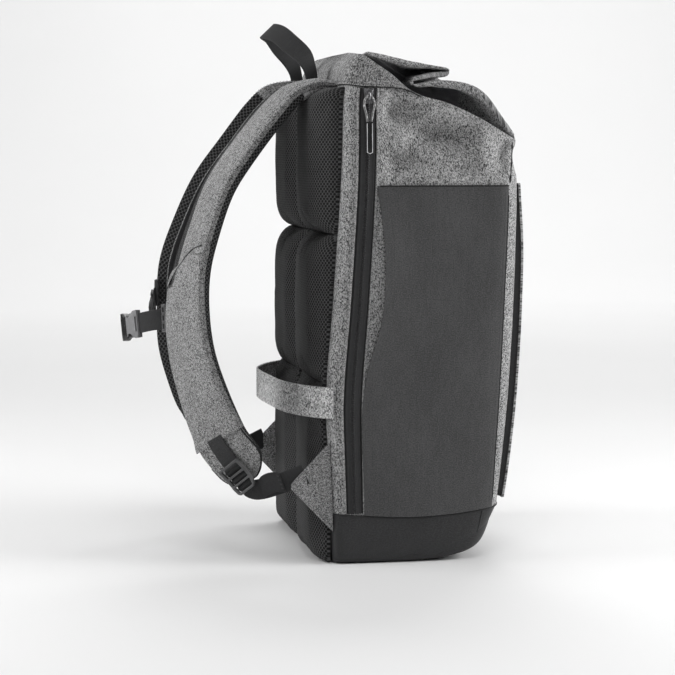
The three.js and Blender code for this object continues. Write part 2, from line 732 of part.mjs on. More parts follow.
function chestSocket() {
  const { length, width, thick, mouth, bore, waist } = SOCKET;
  const body = manifold(plate(roundedRectangle(length, width, 3), thick));
  const cavity = box(length, mouth, bore, 5, 0, 0);
  const windows = [-1, 1].map((side) => box(9, 6, thick + 2, -1, side * (width / 2 - 1), 0));
  const waists = [-1, 1].map((side) => box(8, 2 * waist, bore + 1.2, 6, side * (width / 2), 0));
  const webSlot = box(3.4, WEB_WIDTH + 1, thick + 2, -length / 2 + 4.5, 0, 0);
  return geometryOf([cavity, ...windows, ...waists, webSlot].reduce((a, b) => a.subtract(b), body));
}

function chestPlug() {
  const { width, mouth, bore } = SOCKET;
  const thick = bore - 0.7;
  const shape = new THREE.Shape();
  const w = width / 2;
  const half = mouth / 2;
  const profile = [
    [-7, -w], [1.5, -w], [1.5, -half + 1], [14, -half + 0.5], [17, -half - 1.6], [20, -half - 1],
    [22.5, -half + 3.5], [18, -half + 4], [5, -half + 4.2], [5, -2], [17, -2], [18.5, 0],
    [17, 2], [5, 2], [5, half - 4.2], [18, half - 4], [22.5, half - 3.5], [20, half + 1],
    [17, half + 1.6], [14, half - 0.5], [1.5, half - 1], [1.5, w], [-7, w],
  ];
  shape.setFromPoints(profile.map(([x, y]) => new THREE.Vector2(x, y)));
  shape.holes.push(slot(3.4, WEB_WIDTH + 1, -3.2, 0));
  return plate(shape, thick);
}

// Zip slider: a body on the chain with a bridge for the cord. Up along Y, out of the zip along Z.
function zipSlider() {
  const outline = new THREE.Shape([
    [-3, -PULL.slider / 2], [3, -PULL.slider / 2], [4.6, 2], [4.6, PULL.slider / 2 - 2],
    [2.6, PULL.slider / 2], [-2.6, PULL.slider / 2], [-4.6, PULL.slider / 2 - 2], [-4.6, 2],
  ].map(([x, y]) => new THREE.Vector2(x, y)));
  const body = manifold(plate(outline, 2.4));
  const bridge = box(2.4, 10, 4.8, 0, 0, 2.4);
  const eye = box(4, 6, 3.2, 0, 0, 2.8);
  return geometryOf(body.add(bridge).subtract(eye));
}

// Cord of the zip pull: up one side of a drop, through the slider's bridge and down the other
function pullCord() {
  const { loop, spread, cord } = PULL;
  const lift = (y) => 2.8 + 0.6 * Math.sin((Math.PI * -y) / loop);
  const half = [
    [1.7, -loop], [0.55 * spread, -0.78 * loop], [spread, -0.46 * loop], [0.86 * spread, -0.2 * loop],
    [0.45 * spread, -0.05 * loop],
  ];
  const points = [
    ...half.map(([x, y]) => new THREE.Vector3(-x, y, lift(y))),
    new THREE.Vector3(0, 0, lift(0)),
    ...half.reverse().map(([x, y]) => new THREE.Vector3(x, y, lift(y))),
  ];
  const circle = new THREE.Shape().absarc(0, 0, cord / 2, 0, 2 * Math.PI);
  const extrudePath = new THREE.CatmullRomCurve3(points);
  return new THREE.ExtrudeGeometry(circle, { steps: 20, extrudePath, curveSegments: 4 });
}

function pullGrip() {
  const shape = roundedRectangle(2 * PULL.gripHalf, PULL.grip, 2.4);
  return plate(shape, 3.8);
}

// Assembly
const pack = new THREE.Group();

function add(name, geometry, material, parent = pack) {
  const mesh = new THREE.Mesh(geometry, material);
  mesh.name = name;
  parent.add(mesh);
  return mesh;
}

// Group whose X, Y and Z run along three directions from a point
function framed(point, x, y, z) {
  const group = new THREE.Group();
  group.position.copy(point);
  group.quaternion.setFromRotationMatrix(new THREE.Matrix4().makeBasis(x, y, z));
  pack.add(group);
  return group;
}

add("body_shell", bodyShell(), HEATHER);
add("base_tray", baseTray(), COATED_BLACK);
add("roll_top", rollTop(), HEATHER);

const panel = sidePanel();
add("side_panel_left", slab(...panel), COATED_BLACK);
add("side_panel_right", slab(...panel.map(mirrorGrid)), COATED_BLACK);

const pocket = frontPocket();
add("pocket_gusset", pocket.gusset, ZIP_BLACK);
add("pocket_face", pocket.face, HEATHER);

const zipMiddle = (ZIP.rear + ZIP.front) / 2;
const tapeTop = GAP + ZIP.tape;
const chainTop = tapeTop + GAP + ZIP.chain;
add("zip_tape", zipStrip(ZIP.rear, ZIP.front, GAP, tapeTop), ZIP_BLACK);
const chainEdges = [zipMiddle + ZIP_CHAIN_HALF, zipMiddle - ZIP_CHAIN_HALF];
add("zip_chain", zipStrip(...chainEdges, tapeTop + GAP, chainTop), ZIP_BLACK);

const pullOut = leftSide(zipMiddle, PULL.z, 1).sub(leftSide(zipMiddle, PULL.z, 0)).normalize();
const pullUp = Z_AXIS.clone().addScaledVector(pullOut, -pullOut.z).normalize();
const pullAcross = pullUp.clone().cross(pullOut);
const pullBase = leftSide(zipMiddle, PULL.z, chainTop + GAP + 1.2 + 0.2);
const pull = framed(pullBase, pullAcross, pullUp, pullOut);
add("zip_slider", zipSlider(), SLIDER_METAL, pull);
add("zip_cord", pullCord(), CORD_GREY, pull);
const grip = add("zip_grip", pullGrip(), PLASTIC_BLACK, pull);
grip.position.set(0, -PULL.loop - GAP - PULL.grip / 2, 2.8);

for (const row of PAD_ROWS) {
  add(`pad_${row.name}_left`, backPad(row, -1), MESH_BLACK);
  add(`pad_${row.name}_right`, backPad(row, 1), MESH_BLACK);
}

add("handle", handle(), WEB_BLACK);
add("trolley_band", trolleyBand(), HEATHER);

for (const [hand, side] of [["left", -1], ["right", 1]]) {
  add(`strap_pad_${hand}`, strapPad(side), MESH_BLACK);
  add(`strap_cover_${hand}`, strapCover(side), HEATHER);
  add(`wing_${hand}`, wing(side), HEATHER);
  const at = strapFrame(side, BUCKLE_AT);
  const up = at.tangent.clone().negate();
  const middle = strapPoint(at, 0, BUCKLE_LIFT);
  const buckleAcross = up.clone().cross(at.out);
  const buckle = framed(middle, buckleAcross, up, at.out);
  add(`ladder_buckle_${hand}`, ladderBuckle(), PLASTIC_BLACK, buckle);

  const start = WEB_START.map(({ along, out }) => {
    const p = middle.clone().addScaledVector(up, along).addScaledVector(at.out, out);
    const width = buckleAcross.clone().multiplyScalar(-side);
    return { x: p.x, y: p.y, z: p.z, wx: width.x, wy: width.y, wz: width.z };
  });
  const webRows = [...start, ...sided(WEB_ROWS, side)];
  add(`lower_web_${hand}`, loft(band(webRows, 14, WEB_WIDTH, WEB_THICK)), WEB_BLACK);
  const tail = { ...WEB_TAIL, lift: side * WEB_TAIL.lift };
  add(`web_tail_${hand}`, loft(band(webRows, 6, WEB_WIDTH, WEB_THICK, tail)), WEB_BLACK);
  const anchor = steps(6).map((share) => {
    const frame = strapFrame(side, lerp(ANCHOR.from, ANCHOR.to, share));
    const lift = lerp(ANCHOR[hand], ANCHOR.end, share);
    const corners = [[-1, -1], [1, -1], [1, 1], [-1, 1]];
    return corners.map(([u, v]) =>
      strapPoint(frame, (u * WEB_WIDTH) / 2, lift + (v * WEB_THICK) / 2),
    );
  });
  add(`upper_web_${hand}`, loft(anchor), WEB_BLACK);

  const chest = CHEST[hand];
  const edge = strapFrame(side, chest.at);
  const inward = edge.across.clone().multiplyScalar(-side);
  const along = edge.tangent.clone().negate();
  const root = strapPoint(edge, -side * (edge.half + 1.3 + SLIDER.depth / 2), 0);
  const rail = framed(root, inward, along, inward.clone().cross(along));
  add(`chest_slider_${hand}`, chestSlider(), PLASTIC_BLACK, rail);
  const run = chestRun(chest, side);
  add(`chest_web_${hand}`, loft(run.rings), WEB_BLACK, rail);
  const clipEnd = new THREE.Group();
  clipEnd.position.copy(run.end);
  clipEnd.rotation.y = run.heading;
  rail.add(clipEnd);
  const [clipName, clipShape] = side < 0 ? ["chest_socket", chestSocket()] : ["chest_plug", chestPlug()];
  const clip = add(clipName, clipShape, PLASTIC_BLACK, clipEnd);
  clip.position.x = GAP + (side < 0 ? SOCKET.length / 2 : 7);
}
add("strap_pocket", strapPocket(), HEATHER);

export default pack;
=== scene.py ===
"""Looks of a roll-top backpack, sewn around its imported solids.

The script is laid out as an add-on and is run as a script. Tables and sizes are in millimetres, in
the frame of the solids: +Z up, the front faces -Y, the padded back faces +Y and the wearer's left
is at -X.
"""

import math

import bpy
import numpy as np
from mathutils import Matrix, Vector, noise


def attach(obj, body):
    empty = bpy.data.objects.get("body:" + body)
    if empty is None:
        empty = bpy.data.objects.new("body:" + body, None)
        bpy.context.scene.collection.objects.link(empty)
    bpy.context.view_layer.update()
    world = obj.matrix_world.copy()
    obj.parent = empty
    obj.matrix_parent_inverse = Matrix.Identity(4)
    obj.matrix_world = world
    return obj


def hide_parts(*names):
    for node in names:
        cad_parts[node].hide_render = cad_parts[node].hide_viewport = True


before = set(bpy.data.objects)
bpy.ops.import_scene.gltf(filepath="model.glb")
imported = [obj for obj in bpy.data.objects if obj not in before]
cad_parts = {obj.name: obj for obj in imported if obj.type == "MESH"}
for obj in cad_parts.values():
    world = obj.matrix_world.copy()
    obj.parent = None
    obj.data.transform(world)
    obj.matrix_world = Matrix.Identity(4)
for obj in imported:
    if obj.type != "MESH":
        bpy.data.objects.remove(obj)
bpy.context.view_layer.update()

bl_info = {
    "name": "Roll-top backpack",
    "version": (1, 0, 0),
    "blender": (4, 5, 0),
    "location": "3D View > Sidebar > Backpack",
    "description": "Sews a roll-top backpack piece by piece and sets it in a studio",
    "category": "Object",
}

MM = 0.001
# Faces of a stitch by its points: both ends, then two rows of three across its belly
STITCH_FACES = [(0, 2, 3), (0, 3, 4), (2, 5, 6, 3), (3, 6, 7, 4), (5, 1, 6), (6, 1, 7)]
STITCH_POINTS = 8
# Height of a stitch over the cloth of a band
STITCH_LIFT = 0.1
# A direction that no piping follows
PIPING_ASIDE = np.array([0.31, 0.17, 0.93])

# Camera and stage, in metres
CAMERA_PLACE = (-2.2440, 0.4538, 0.4043)
CAMERA_AZIMUTH = math.radians(260)
CAMERA_ELEVATION = math.radians(5)
FIELD_OF_VIEW = math.radians(16.91)
CAMERA_SENSOR = 36
STAGE = {"near": -5.0, "far": 5.2, "half": 5.0, "height": 5.0, "bend": 2.0}
AIM = (0.0, 0.05, 0.25)
WALL_AIM = (3.6, -1.0, 0.0)
LIGHTS = [
    # name, place, aim, size, power
    ("left", (0.1, 1.55, 0.95), AIM, 1.0, 17),
    ("right", (-0.45, -1.35, 0.85), AIM, 1.0, 22),
    ("top", (-1.6, 0.3, 2.3), AIM, 1.3, 16),
    ("backdrop", (3.6, -1.0, 4.3), WALL_AIM, 3.4, 196),
]
WORLD_COLOUR = (0.95, 0.95, 0.95, 1)
WORLD_STRENGTH = 0.20

# Outline of the body by height: z, rear, front, half of the width
BODY_LEVELS = [
    (38, 88, -78, 141),
    (52, 88.5, -79.5, 141.5),
    (100, 91, -85, 143),
    (155, 93, -90, 144),
    (250, 86, -95, 145),
    (355, 79, -97.5, 144),
    (390, 77.5, -97, 142.5),
    (455, 75, -93, 140),
    (472, 71, -92, 139),
    (485, 59.5, -91, 138),
]
# Squareness of its corners, reach of its sides along the depth, and how points crowd at the corners of
# its rear and its front: turns, and places across at the inner turns
REAR_SQUARENESS = 18
FRONT_SQUARENESS = 9
SIDE_REACH = (0.02, 0.99)
FACE_TURNS = (0, 0.1, 0.9, 1)
REAR_FACE = 0.84
FRONT_FACE = 0.68

# Base tray with its seam: z, rear, front, half of the width
SEAM_Z = 52
BASE_LEVELS = [
    (0, 85, -8, 133),
    (3, 87, -17, 138),
    (10, 87.5, -35, 140),
    (26, 88, -63.5, 141),
    (52, 88.5, -79.5, 141.5),
]
# Piping of the base: y, z down its front corner, and place along the depth, z round its foot
BASE_CORNER = [(-58.4, 50), (-56, 36), (-52.5, 20), (-49, 11), (-44, 6.5)]
BASE_FOOT = [(0.30, 9.5), (0.5, 5.0), (0.7, 3.2), (1, 3.4)]
# Radii of that piping, and its lift at the seam
BASE_PIPING = {"seam": 0.9, "corner": 0.75, "foot": 0.7, "lift": 0.4}
# Rings of the base's floor, as shares of its outline
BASE_FLOOR = (0.03, 0.3, 0.6, 0.85, 0.96)
# Heights along the depth, from the front, 0, to the back, 1
SEAM_LEVELS = [(0, 52), (0.3, 45), (0.55, 43), (0.85, 46), (1, 48)]
RIM_LEVELS = [
    (0, 401), (0.08, 408), (0.25, 425), (0.417, 438), (0.584, 446),
    (0.64, 451), (0.76, 466.5), (0.95, 481.5), (1, 484.5),
]
COLLAR_LEVELS = [(0.568, 446.6), (0.623, 449.1), (0.691, 451.9), (0.817, 453.3), (0.913, 454), (1, 455.8)]
# Crown of the rim along the back: rise, dip, place and width of the dip
RIM_CROWN = {"rise": 2.6, "dip": 4.4, "at": -0.72, "wide": 0.21}
# Collar: where it starts, turns the corner and ends along the depth, its lift off the wall, the row of
# its stitches
COLLAR = {"from": 0.57, "turn": 0.97, "to": 0.9965, "outer": 1.5, "inner": 0.15, "stitches": 0.10}
# Dark line under the collar, painted shadow of its lower edge: how far down and in, radius
COLLAR_SHADOW = {"down": 0.35, "in": 0.7, "radius": 0.6}
# Seam at the front corner of a side, above the pocket: z, place along the depth
CORNER_SEAM = [(360, 0.078), (380, 0.066), (401, 0.055)]
# Its puckers: least radius, more radius, turns for each millimetre of a short and a long wave
PUCKER = (0.45, 0.55, 0.55, 0.21)

# Dents of the slack cloth at the sides: y, z, reach along y and z, depth. A ridge has a negative depth
DENTS = [
    (-16, 406, 27, 11, 20),
    (22, 427, 20, 11, 15),
    (-78, 388, 11, 17, 8),
    (26, 384, 20, 10, 9),
    (-46, 372, 20, 8, 6),
    (-55, 399, 10, 18, -6),
]

# Slack of that cloth: heights where it starts, calm stretch under the rim, ends along the depth at the
# zip and at the back, and the lean of its folds from a level
SLACK = {"start": (361, 374), "rim": 14, "zip": (0.80, 0.72), "back": (0.97, 0.8), "lean": 0.55, "level": 420}
# Lumps of cloth and foam: height, size, seed
FOLD_LUMPS = [(5.5, (60, 34, 58), 1), (2.6, (30, 16, 30), 2)]
WALL_LUMPS = [(0.22, 40, 3)]
COLLAR_LUMPS = [(0.6, 34, 4)]
BASE_LUMPS = [(0.5, 38, 5), (0.25, 16, 6)]
ROLL_LUMPS = [(0.9, (46, 30, 30), 7), (0.35, 15, 8)]
PANEL_LUMPS = [(0.55, (50, 42, 60), 11), (0.2, (30, 14, 40), 13)]
POCKET_LUMPS = [(0.5, (60, 20, 50), 15)]
PAD_LUMPS = [(0.7, 40, 20), (0.25, 16, 24)]
WING_LUMPS = [(0.5, 22, 40)]

# Roll top: back y, back z, front y, front z, half of the width, tuck of the side folds, hang of the
# back sheet's edge, turn of the front sheet's edge in y and z
ROLL_ROWS = [
    (53, 485.8, -88, 411, 138, 46, 3.2, 3.6, -3.4),
    (47, 485, -77, 425.5, 138, 50, 4.2, 3.9, -3.2),
    (41, 484, -64, 443, 137.5, 53, 5.2, 3.8, -6),
    (35, 482.8, -52, 453.3, 137, 55, 6, 2.4, -10),
    (29, 481.6, -34, 458.4, 136, 57, 6.6, 0.7, -8.5),
    (23, 480.4, -10, 459.2, 135, 59, 7, -0.7, -6.2),
    (18, 479.3, 8, 456.2, 135, 60, 7, -1.4, -3.6),
    (12, 478, 11, 457.8, 135, 61, 6.6, 0, 3.4),
    (3, 476.5, 3, 459.2, 135, 62, 5.8, 0, 5.2),
    (-10, 474, -10, 462, 134, 42, 3.4, 0, 5.2),
    (-22, 471.6, -22, 463.2, 134, 13, 2, 0, 4.4),
    (-25.5, 469.2, -25.2, 465.6, 133.6, 3, 1, 0, 1.8),
]
# Side folds: slit at their root, shares of the tuck and of the way to the middle, share of the ring
# where the painted light and shade of the fold start, and the y where its darker sheet ends
FOLD = {"slit": 0.8, "tucks": (0.62, 0.92), "ways": (0.42, 0.75), "lining": 0.2, "shade": -42}
# Hem of the front sheet: grey in front of y and above z
HEM = {"y": -8, "z": 460}
# Ledge of the cloth from the rim into a side fold
LEDGE_DEPTH = 44
LEDGE_DIP = 5

# Side pockets: z, place of the free rear edge along the depth
PANEL_EDGE = [(54, 0.815), (165, 0.815), (195, 0.793), (235, 0.749), (300, 0.756), (360, 0.812)]
# z, place of the sewn front edge along the depth
PANEL_FRONT = [(54, 0.073), (90, 0.085), (155, 0.093), (251, 0.098), (360, 0.091)]
# Top edge, start above the seam and gap to the wall
PANEL_TOP = 360
PANEL_RISE = 1.5
PANEL_LIFT = 0.5
# Stitches of a side pocket as shares of its rows and columns, and radii of the piping at its top and front
PANEL_STITCHES = {"row": 0.988, "columns": (0.05, 0.86)}
PANEL_PIPING = (0.65, 0.45)
# Gape of the rear edge: height, place along the depth where it is shut, room to open, reach forwards
GAPE = {"height": 4, "shut": 0.815, "room": 0.066, "reach": 0.3}

# Side zip and its pull
ZIP = {"rear": 0.908, "front": 0.83, "bottom": 49, "top": 452, "gutter": 0.0105, "chain": 0.0125}
ZIP_MIDDLE = (ZIP["rear"] + ZIP["front"]) / 2
# A tape from its outer edge to the chain: heights over the wall
TAPE_HEIGHTS = [0.9, 1.5, 1.25, 1.3, 1.7, 1.2]
TAPE_THICK = 0.9
# Places of those heights: in from the outer edge, then out from the middle of the chain
TAPE_OUTER = (0, 0.004, 0.010)
TAPE_INNER = (ZIP["chain"] + 0.006, ZIP["chain"], 0.003)
# Dark strips beside the tapes, painted shadow in the gaps before the welts: height, thickness, how far they
# reach under a tape, and the welts past them
SHADOW_GAP = {"height": 0.45, "thick": 0.5, "under": 0.001, "welt": 0.004, "welt_lift": 0.55, "welt_radius": 1.15}
# A tooth: places across it as shares of the chain, heights there, places up it, drops there, lean
TOOTH = {
    "across": (1, 0.6, 0, -0.6, -1), "heights": (1.35, 2.15, 2.45, 2.15, 1.35),
    "up": (-0.62, -0.36, 0.36, 0.62), "drops": (0.9, 0.0, 0.0, 0.9), "lean": 0.0016, "foot": 0.5,
}
PULL = {
    "z": 444, "lift": 4.3, "slider": 14, "cord": 2.2, "loop": 24, "spread": 4.9, "high": 2.8, "grip": 30,
    "half": 3,
}
# Half of the cord's loop: shares of its spread and of its length
PULL_LOOP = [(0.6, -0.72), (1, -0.38), (0.88, -0.17), (0.45, -0.04)]
PULL_ROOT = 1.9
# Slider: widths at its head and foot, thickness, inset and step of its top, rounding
PULL_SLIDER = {"head": 9.2, "foot": 6.4, "thick": 2.4, "inset": 1.2, "step": 0.5, "edge": 0.5}
# Bridge on the slider: radius, wire, lift, stretch across and along, and the height where it stops
BRIDGE = {"radius": 3.6, "wire": 0.75, "lift": 1.6, "wide": 1.5, "long": 1.25, "low": 1.0}
# Grip: thickness, inset and swell of its faces, rounding, and the light rim on its face, which paints the
# highlight of its glossy edge
GRIP = {"thick": 3.8, "inset": 0.9, "swell": 0.35, "edge": 1.1}
GRIP_HIGHLIGHT = {"in": 0.55, "up": 1.5, "lift": 1.95, "wire": 0.4}

# Front pocket
POCKET = {
    "half": 124, "bottom": 58, "top": 362, "rim": 3.6, "bulge": 3.4, "face": 2, "taper": 75, "gusset": 1.5,
    "seam": 0.3,
}
POCKET_GRID = (70, 80)
POCKET_STITCHES = {"rows": (0.025, 0.975), "columns": (0.17, 0.83)}

# Back pads: name, bottom, top, plane of the crown, reach of the rounding at the foot and at the head
PAD_ROWS = [
    ("upper", 314.3, 453, 104, 24, 12),
    ("middle", 173.6, 314.1, 105, 24, 26),
    ("lower", 1, 173.4, 104.5, 13, 26),
]
PAD = {"round": 31, "inner": 9, "outer": 130, "edge": 2.5, "power": 2.1, "hollow": 0.05}
SIMULATION = {"frames": 20, "pressure": 4.0, "slack": 0.01, "cap": 2.0}

# Left shoulder strap: x, y, z, half, foam, turn, and of the right strap: turn, rise, push to the rear
STRAP_ROWS = [
    (62, 75.5, 457, 30, 5, 0, 0, 0, 0),
    (62.5, 92, 459.5, 31, 8, 1, 3, 0, 1.5),
    (64, 116, 452.5, 32, 10, 4, 9, 0, 5),
    (66, 135.5, 435, 32.5, 10, 7, 15, 0, 1.5),
    (69, 165.5, 398, 33, 10, 8, 20, 0, -4),
    (72, 190.5, 361, 33, 10, 9, 21, 0, -3.5),
    (75.5, 207, 320, 33, 10, 11, 21, 0, -1),
    (79, 218.5, 280, 33, 10, 14, 21, 0, 1),
    (83, 223, 240, 33, 10, 21, 21, 0, -1),
    (88, 219, 197, 32.5, 10, 25, 25, 2, 0),
    (94, 207, 155, 31, 10, 32, 32, 8, 0),
    (101, 192, 119, 28.5, 9, 44, 44, 16, 0),
    (107.5, 175.5, 94, 26, 7, 52, 52, 22, 0),
    (111.5, 163.5, 78, 23, 5, 56, 56, 26, 0),
]
STRAP_END = len(STRAP_ROWS) - 1
# Length of one place past the last row
STRAP_STRIDE = 30
# Pocket on the left strap: lift over the face, lower end, how much wider it is
STRAP_POCKET = {"lift": 1.7, "to": 11.08, "wider": 1.6}
# Slit of the strap pocket: place across, place along
SLIT = [
    (-1.3, 6.42), (-1, 6.45), (-0.55, 6.53), (-0.22, 6.66), (0.12, 6.85), (0.6, 7.12), (0.8, 7.34),
    (1.3, 7.75),
]
# Mouth of that slit: place across, gape, and the reach of the gape across and along
MOUTH = {"at": 0.62, "gape": 2.6, "wide": 0.3, "long": 0.07}
# Tongue at the lower end: where it shifts outwards, how far, and where its end is rounded from
TONGUE = {"from": 11.0, "to": 12.2, "shift": 3.0, "round": 11.9}
# Dark edge round the tongue: its ends on the outer and the inner side, how far out and how far down
TONGUE_EDGE = {"outer": 10.7, "inner": 11.6, "out": 2.5, "down": 1}
# Grey root: where it ends on each strap, the bow of its end, and the height above which it lies in metres
GREY_ROOT = {-1: 1.95, 1: 2.4, "bow": 5, "above": 0.43}
# Foam: how far it stands past the face, corner radii, lip of the inner edge
FOAM = {"past": 0.9, "top_round": 1.5, "bottom_round": 0.42, "lip": 1.6}
STRAP_STITCHES = (-0.8, 0.9)
# Cloth over the foam: how far past its edge, the inner edge as shares of the half width, its narrow
# stretch along the strap, and how far it wraps, as shares of the foam
SKIN = {
    "past": 1.3, "inner": (0.88, 1.05), "narrow": 0.16, "narrows": (4.5, 6.4), "widens": (7.6, 7.0),
    "wrap": (0.4, 0.3), "wraps": (5, 8.5),
}
# Dark sheet in the slit, painted shade of the pocket's mouth: height, its fall to the sides, start and end
# along the strap, lift of both, thickness
SLIT_SHADE = {"high": 3.4, "fall": 0.35, "start": -0.035, "end": 0.01, "lift": (0.35, 2.2), "thick": 0.4}
# More of it at the mouth: along the strap, lift, reach across
SLIT_SHADE_MOUTH = {"long": 0.2, "lift": 2.4, "wide": 0.2}
# Columns of a strap's outline under the binding of its inner edge, and the column of its seam
BINDING = {-1: (7, 12), 1: (11, 16), "seam": {-1: 7, 1: 16}}
FOAM_SWELL = 1.32
# Longest wrap of the cloth over the outer edge, and the columns of its outline that lie there, which get
# a darker copy of the cloth as painted shade
WRAP = 5.6
WRAP_COLUMNS = (31, 48)

# Buckles, webs and wings. A plate is a grid of columns and rows with slots: x from, x to, y from, y to
BUCKLE_AT = 12.5
BUCKLE_LIFT = 9.2
BUCKLE = {
    "columns": (-13.5, -10.4, 0, 10.4, 13.5), "rows": (-15.5, -13, -6.4, -4, 2.3, 4.8, 13.1, 15.5),
    "slots": [(-10.4, 10.4, -13, -6.4), (-10.4, 10.4, -4, 2.3), (-10.4, 10.4, 4.8, 13.1)], "thick": 3.6,
}
# Width of some rows of a buckle, as a share, and the bow of its ends
BUCKLE_TAPER = {-15.5: 0.66, -13: 0.86, -6.4: 1.0, 15.5: 0.94}
BUCKLE_BOW = 0.010
# Upper web: its ends along the strap, and its height at the start of each and at the end
ANCHOR = {"from": 10.95, "to": 12.3, "left": 5.1, "right": 3.1, "end": 6.1}
# Lower web, at the buckle: place along the buckle, height
WEB_START = [(-9, -3.5), (-17, -3.8)]
# Web through the buckle: place along it, height
BUCKLE_LOOP = [
    (-16, -3.3), (-13.6, -2.9), (-9.7, -0.9), (-5.2, -2.7), (-0.9, -0.5), (3.5, -2.7), (8.6, 0.1),
    (11.6, -1.2), (13.6, -2.6),
]
# Box of stitches on the upper web: rings where a line starts and ends, shares of the half width there
STITCH_BOX = [(2, 2, -0.8, 0.8), (18, 18, -0.8, 0.8), (2, 18, -0.8, 0.8), (2, 18, 0.8, -0.8)]
# Lower web, to the wing: x, y, z and the direction of the width
WEB_ROWS = [
    (125.5, 149, 73.5, 0.15, -0.1, 0.95),
    (131.5, 130, 80.5, 0, 0.3, 0.95),
    (137.2, 113, 87.5, 0, 0.4, 0.9),
]
# Tail of that web: its ends along the rows, lift off the web, slip to the side
WEB_TAIL = {"from": 1.8, "to": 2.8, "lift": 2.5, "slip": 4.0}
WING = {
    "along": 0.988, "top": 117, "bottom": 31, "tip": (138.5, 127, 76), "tip_share": 0.06, "thick": 2.2,
    "bow": 1.6,
}
# Half of the handle: x, y, z and the direction of the width
HANDLE_ROWS = [
    (46, 91.5, 460.5, 0.75, -0.66, 0),
    (46, 92.3, 466, 0.72, -0.66, 0.1),
    (45.5, 94.8, 475, 0.6, -0.64, 0.3),
    (42.5, 100.5, 486, 0.35, -0.7, 0.62),
    (33, 111, 497, 0.05, -0.72, 0.69),
    (18, 120.5, 507, 0, -0.72, 0.69),
]
HANDLE_CROWN = (0, 128.5, 510.5, 0, -0.72, 0.69)
HANDLE_THICK = 2.2
# Trolley band: x, y
BAND_ROWS = [
    (-142.6, 87.2), (-136, 95.5), (-113, 110.5), (-84, 121.5), (-62, 126), (-31, 128.5), (0, 130.5),
    (31, 132), (62, 131), (84, 125.5), (113, 112.5), (136, 95.8), (142.6, 87.2),
]
BAND = {"z": 155, "half": 15, "thick": 2}
# Stitches of the band: shares of its half width, and the rings of those across it
BAND_STITCHES = {"edges": (-0.82, 0.82), "rings": (4, 7, -8, -5)}

# Chest strap: place on the strap, web length, heading where it leaves and where it arrives
CHEST = {"left": (8.12, 27.5, 58, 12), "right": (7.68, 9, 5, -8)}
# Droop of each half in degrees, and steps along a web
CHEST_DROOP = {"left": 8, "right": -25}
CHEST_STEPS = 10
SLIDER = {
    "columns": (-3.75, -1.2, 2.2, 3.75), "rows": (-13.5, -10.6, -5.4, -2.6, 2.6, 5.4, 10.6, 13.5),
    "slots": [(-1.2, 2.2, -10.6, -5.4), (-1.2, 2.2, -2.6, 2.6), (-1.2, 2.2, 5.4, 10.6)], "thick": 4.2,
    "depth": 7.5,
}
# dark: past this place along the socket, its mouth end gets the dark grip finish as painted shade
SOCKET = {
    "columns": (-12, -10.6, -8.2, -6, -3.5, -0.5, 2.5, 4, 8.4, 12), "rows": (-13.5, -7.5, 0, 7.5, 13.5),
    "slots": [(-10.6, -8.2, -7.5, 7.5)], "thick": 7.6, "length": 24, "wall": 1.6, "bore": 14, "dark": 3.4,
}
# Waist of the socket's sides: column, how far in
SOCKET_WAIST = {-3.5: 3.0, -0.5: 5.4, 2.5: 5.4, 4: 2.6}
PLUG = {
    "columns": (-7, -4.9, -1.5, 1.5), "rows": (-13.5, -10.5, -7.5, -5.2, -1.8, 1.8, 5.2, 7.5, 10.5, 13.5),
    "slots": [(-4.9, -1.5, -10.5, 10.5)], "thick": 2.9, "reach": 7.3, "prongs": (13, 6), "tongue": 15,
    "hook": 1.6,
}
# Clear gap between pieces that seat on each other
SEAT_GAP = 0.3
BEVEL_ANGLE = 35
SIDES = (("left", -1), ("right", 1))


def length(name, description, default):
    """Length property in metres."""
    return bpy.props.FloatProperty(name=name, description=description, default=default, unit="LENGTH")


class BackpackSizes(bpy.types.PropertyGroup):
    """Sizes of cloth, webbing, thread and mesh"""

    cloth_wall: length("Cloth", "Thickness of the melange cloth", 0.0018)
    coated_wall: length("Coated cloth", "Thickness of the side pockets", 0.0015)
    roll_wall: length("Roll top", "Thickness of the folded top", 0.0015)
    base_wall: length("Base", "Thickness of the base tray", 0.0022)
    web_width: length("Web width", "Width of the webbing", 0.020)
    web_thick: length("Web thickness", "Thickness of the webbing", 0.0014)
    stitch_pitch: length("Stitch pitch", "From stitch to stitch", 0.0034)
    stitch_length: length("Stitch length", "Length of the thread that shows", 0.0023)
    stitch_radius: length("Thread radius", "Radius of the thread", 0.0003)
    mesh_cell: bpy.props.FloatVectorProperty(
        name="Mesh cell", description="Width and height of a cell with two holes",
        default=(0.0036, 0.0047), size=2, unit="LENGTH")
    mesh_hole: length("Mesh hole", "Radius of a hole in the air mesh", 0.00132)
    tooth_pitch: length("Tooth pitch", "From tooth to tooth of the zip", 0.0017)


def colour(name, description, default):
    """Colour property with linear values."""
    return bpy.props.FloatVectorProperty(
        name=name, description=description, default=default, size=3, subtype="COLOR", min=0, max=1)


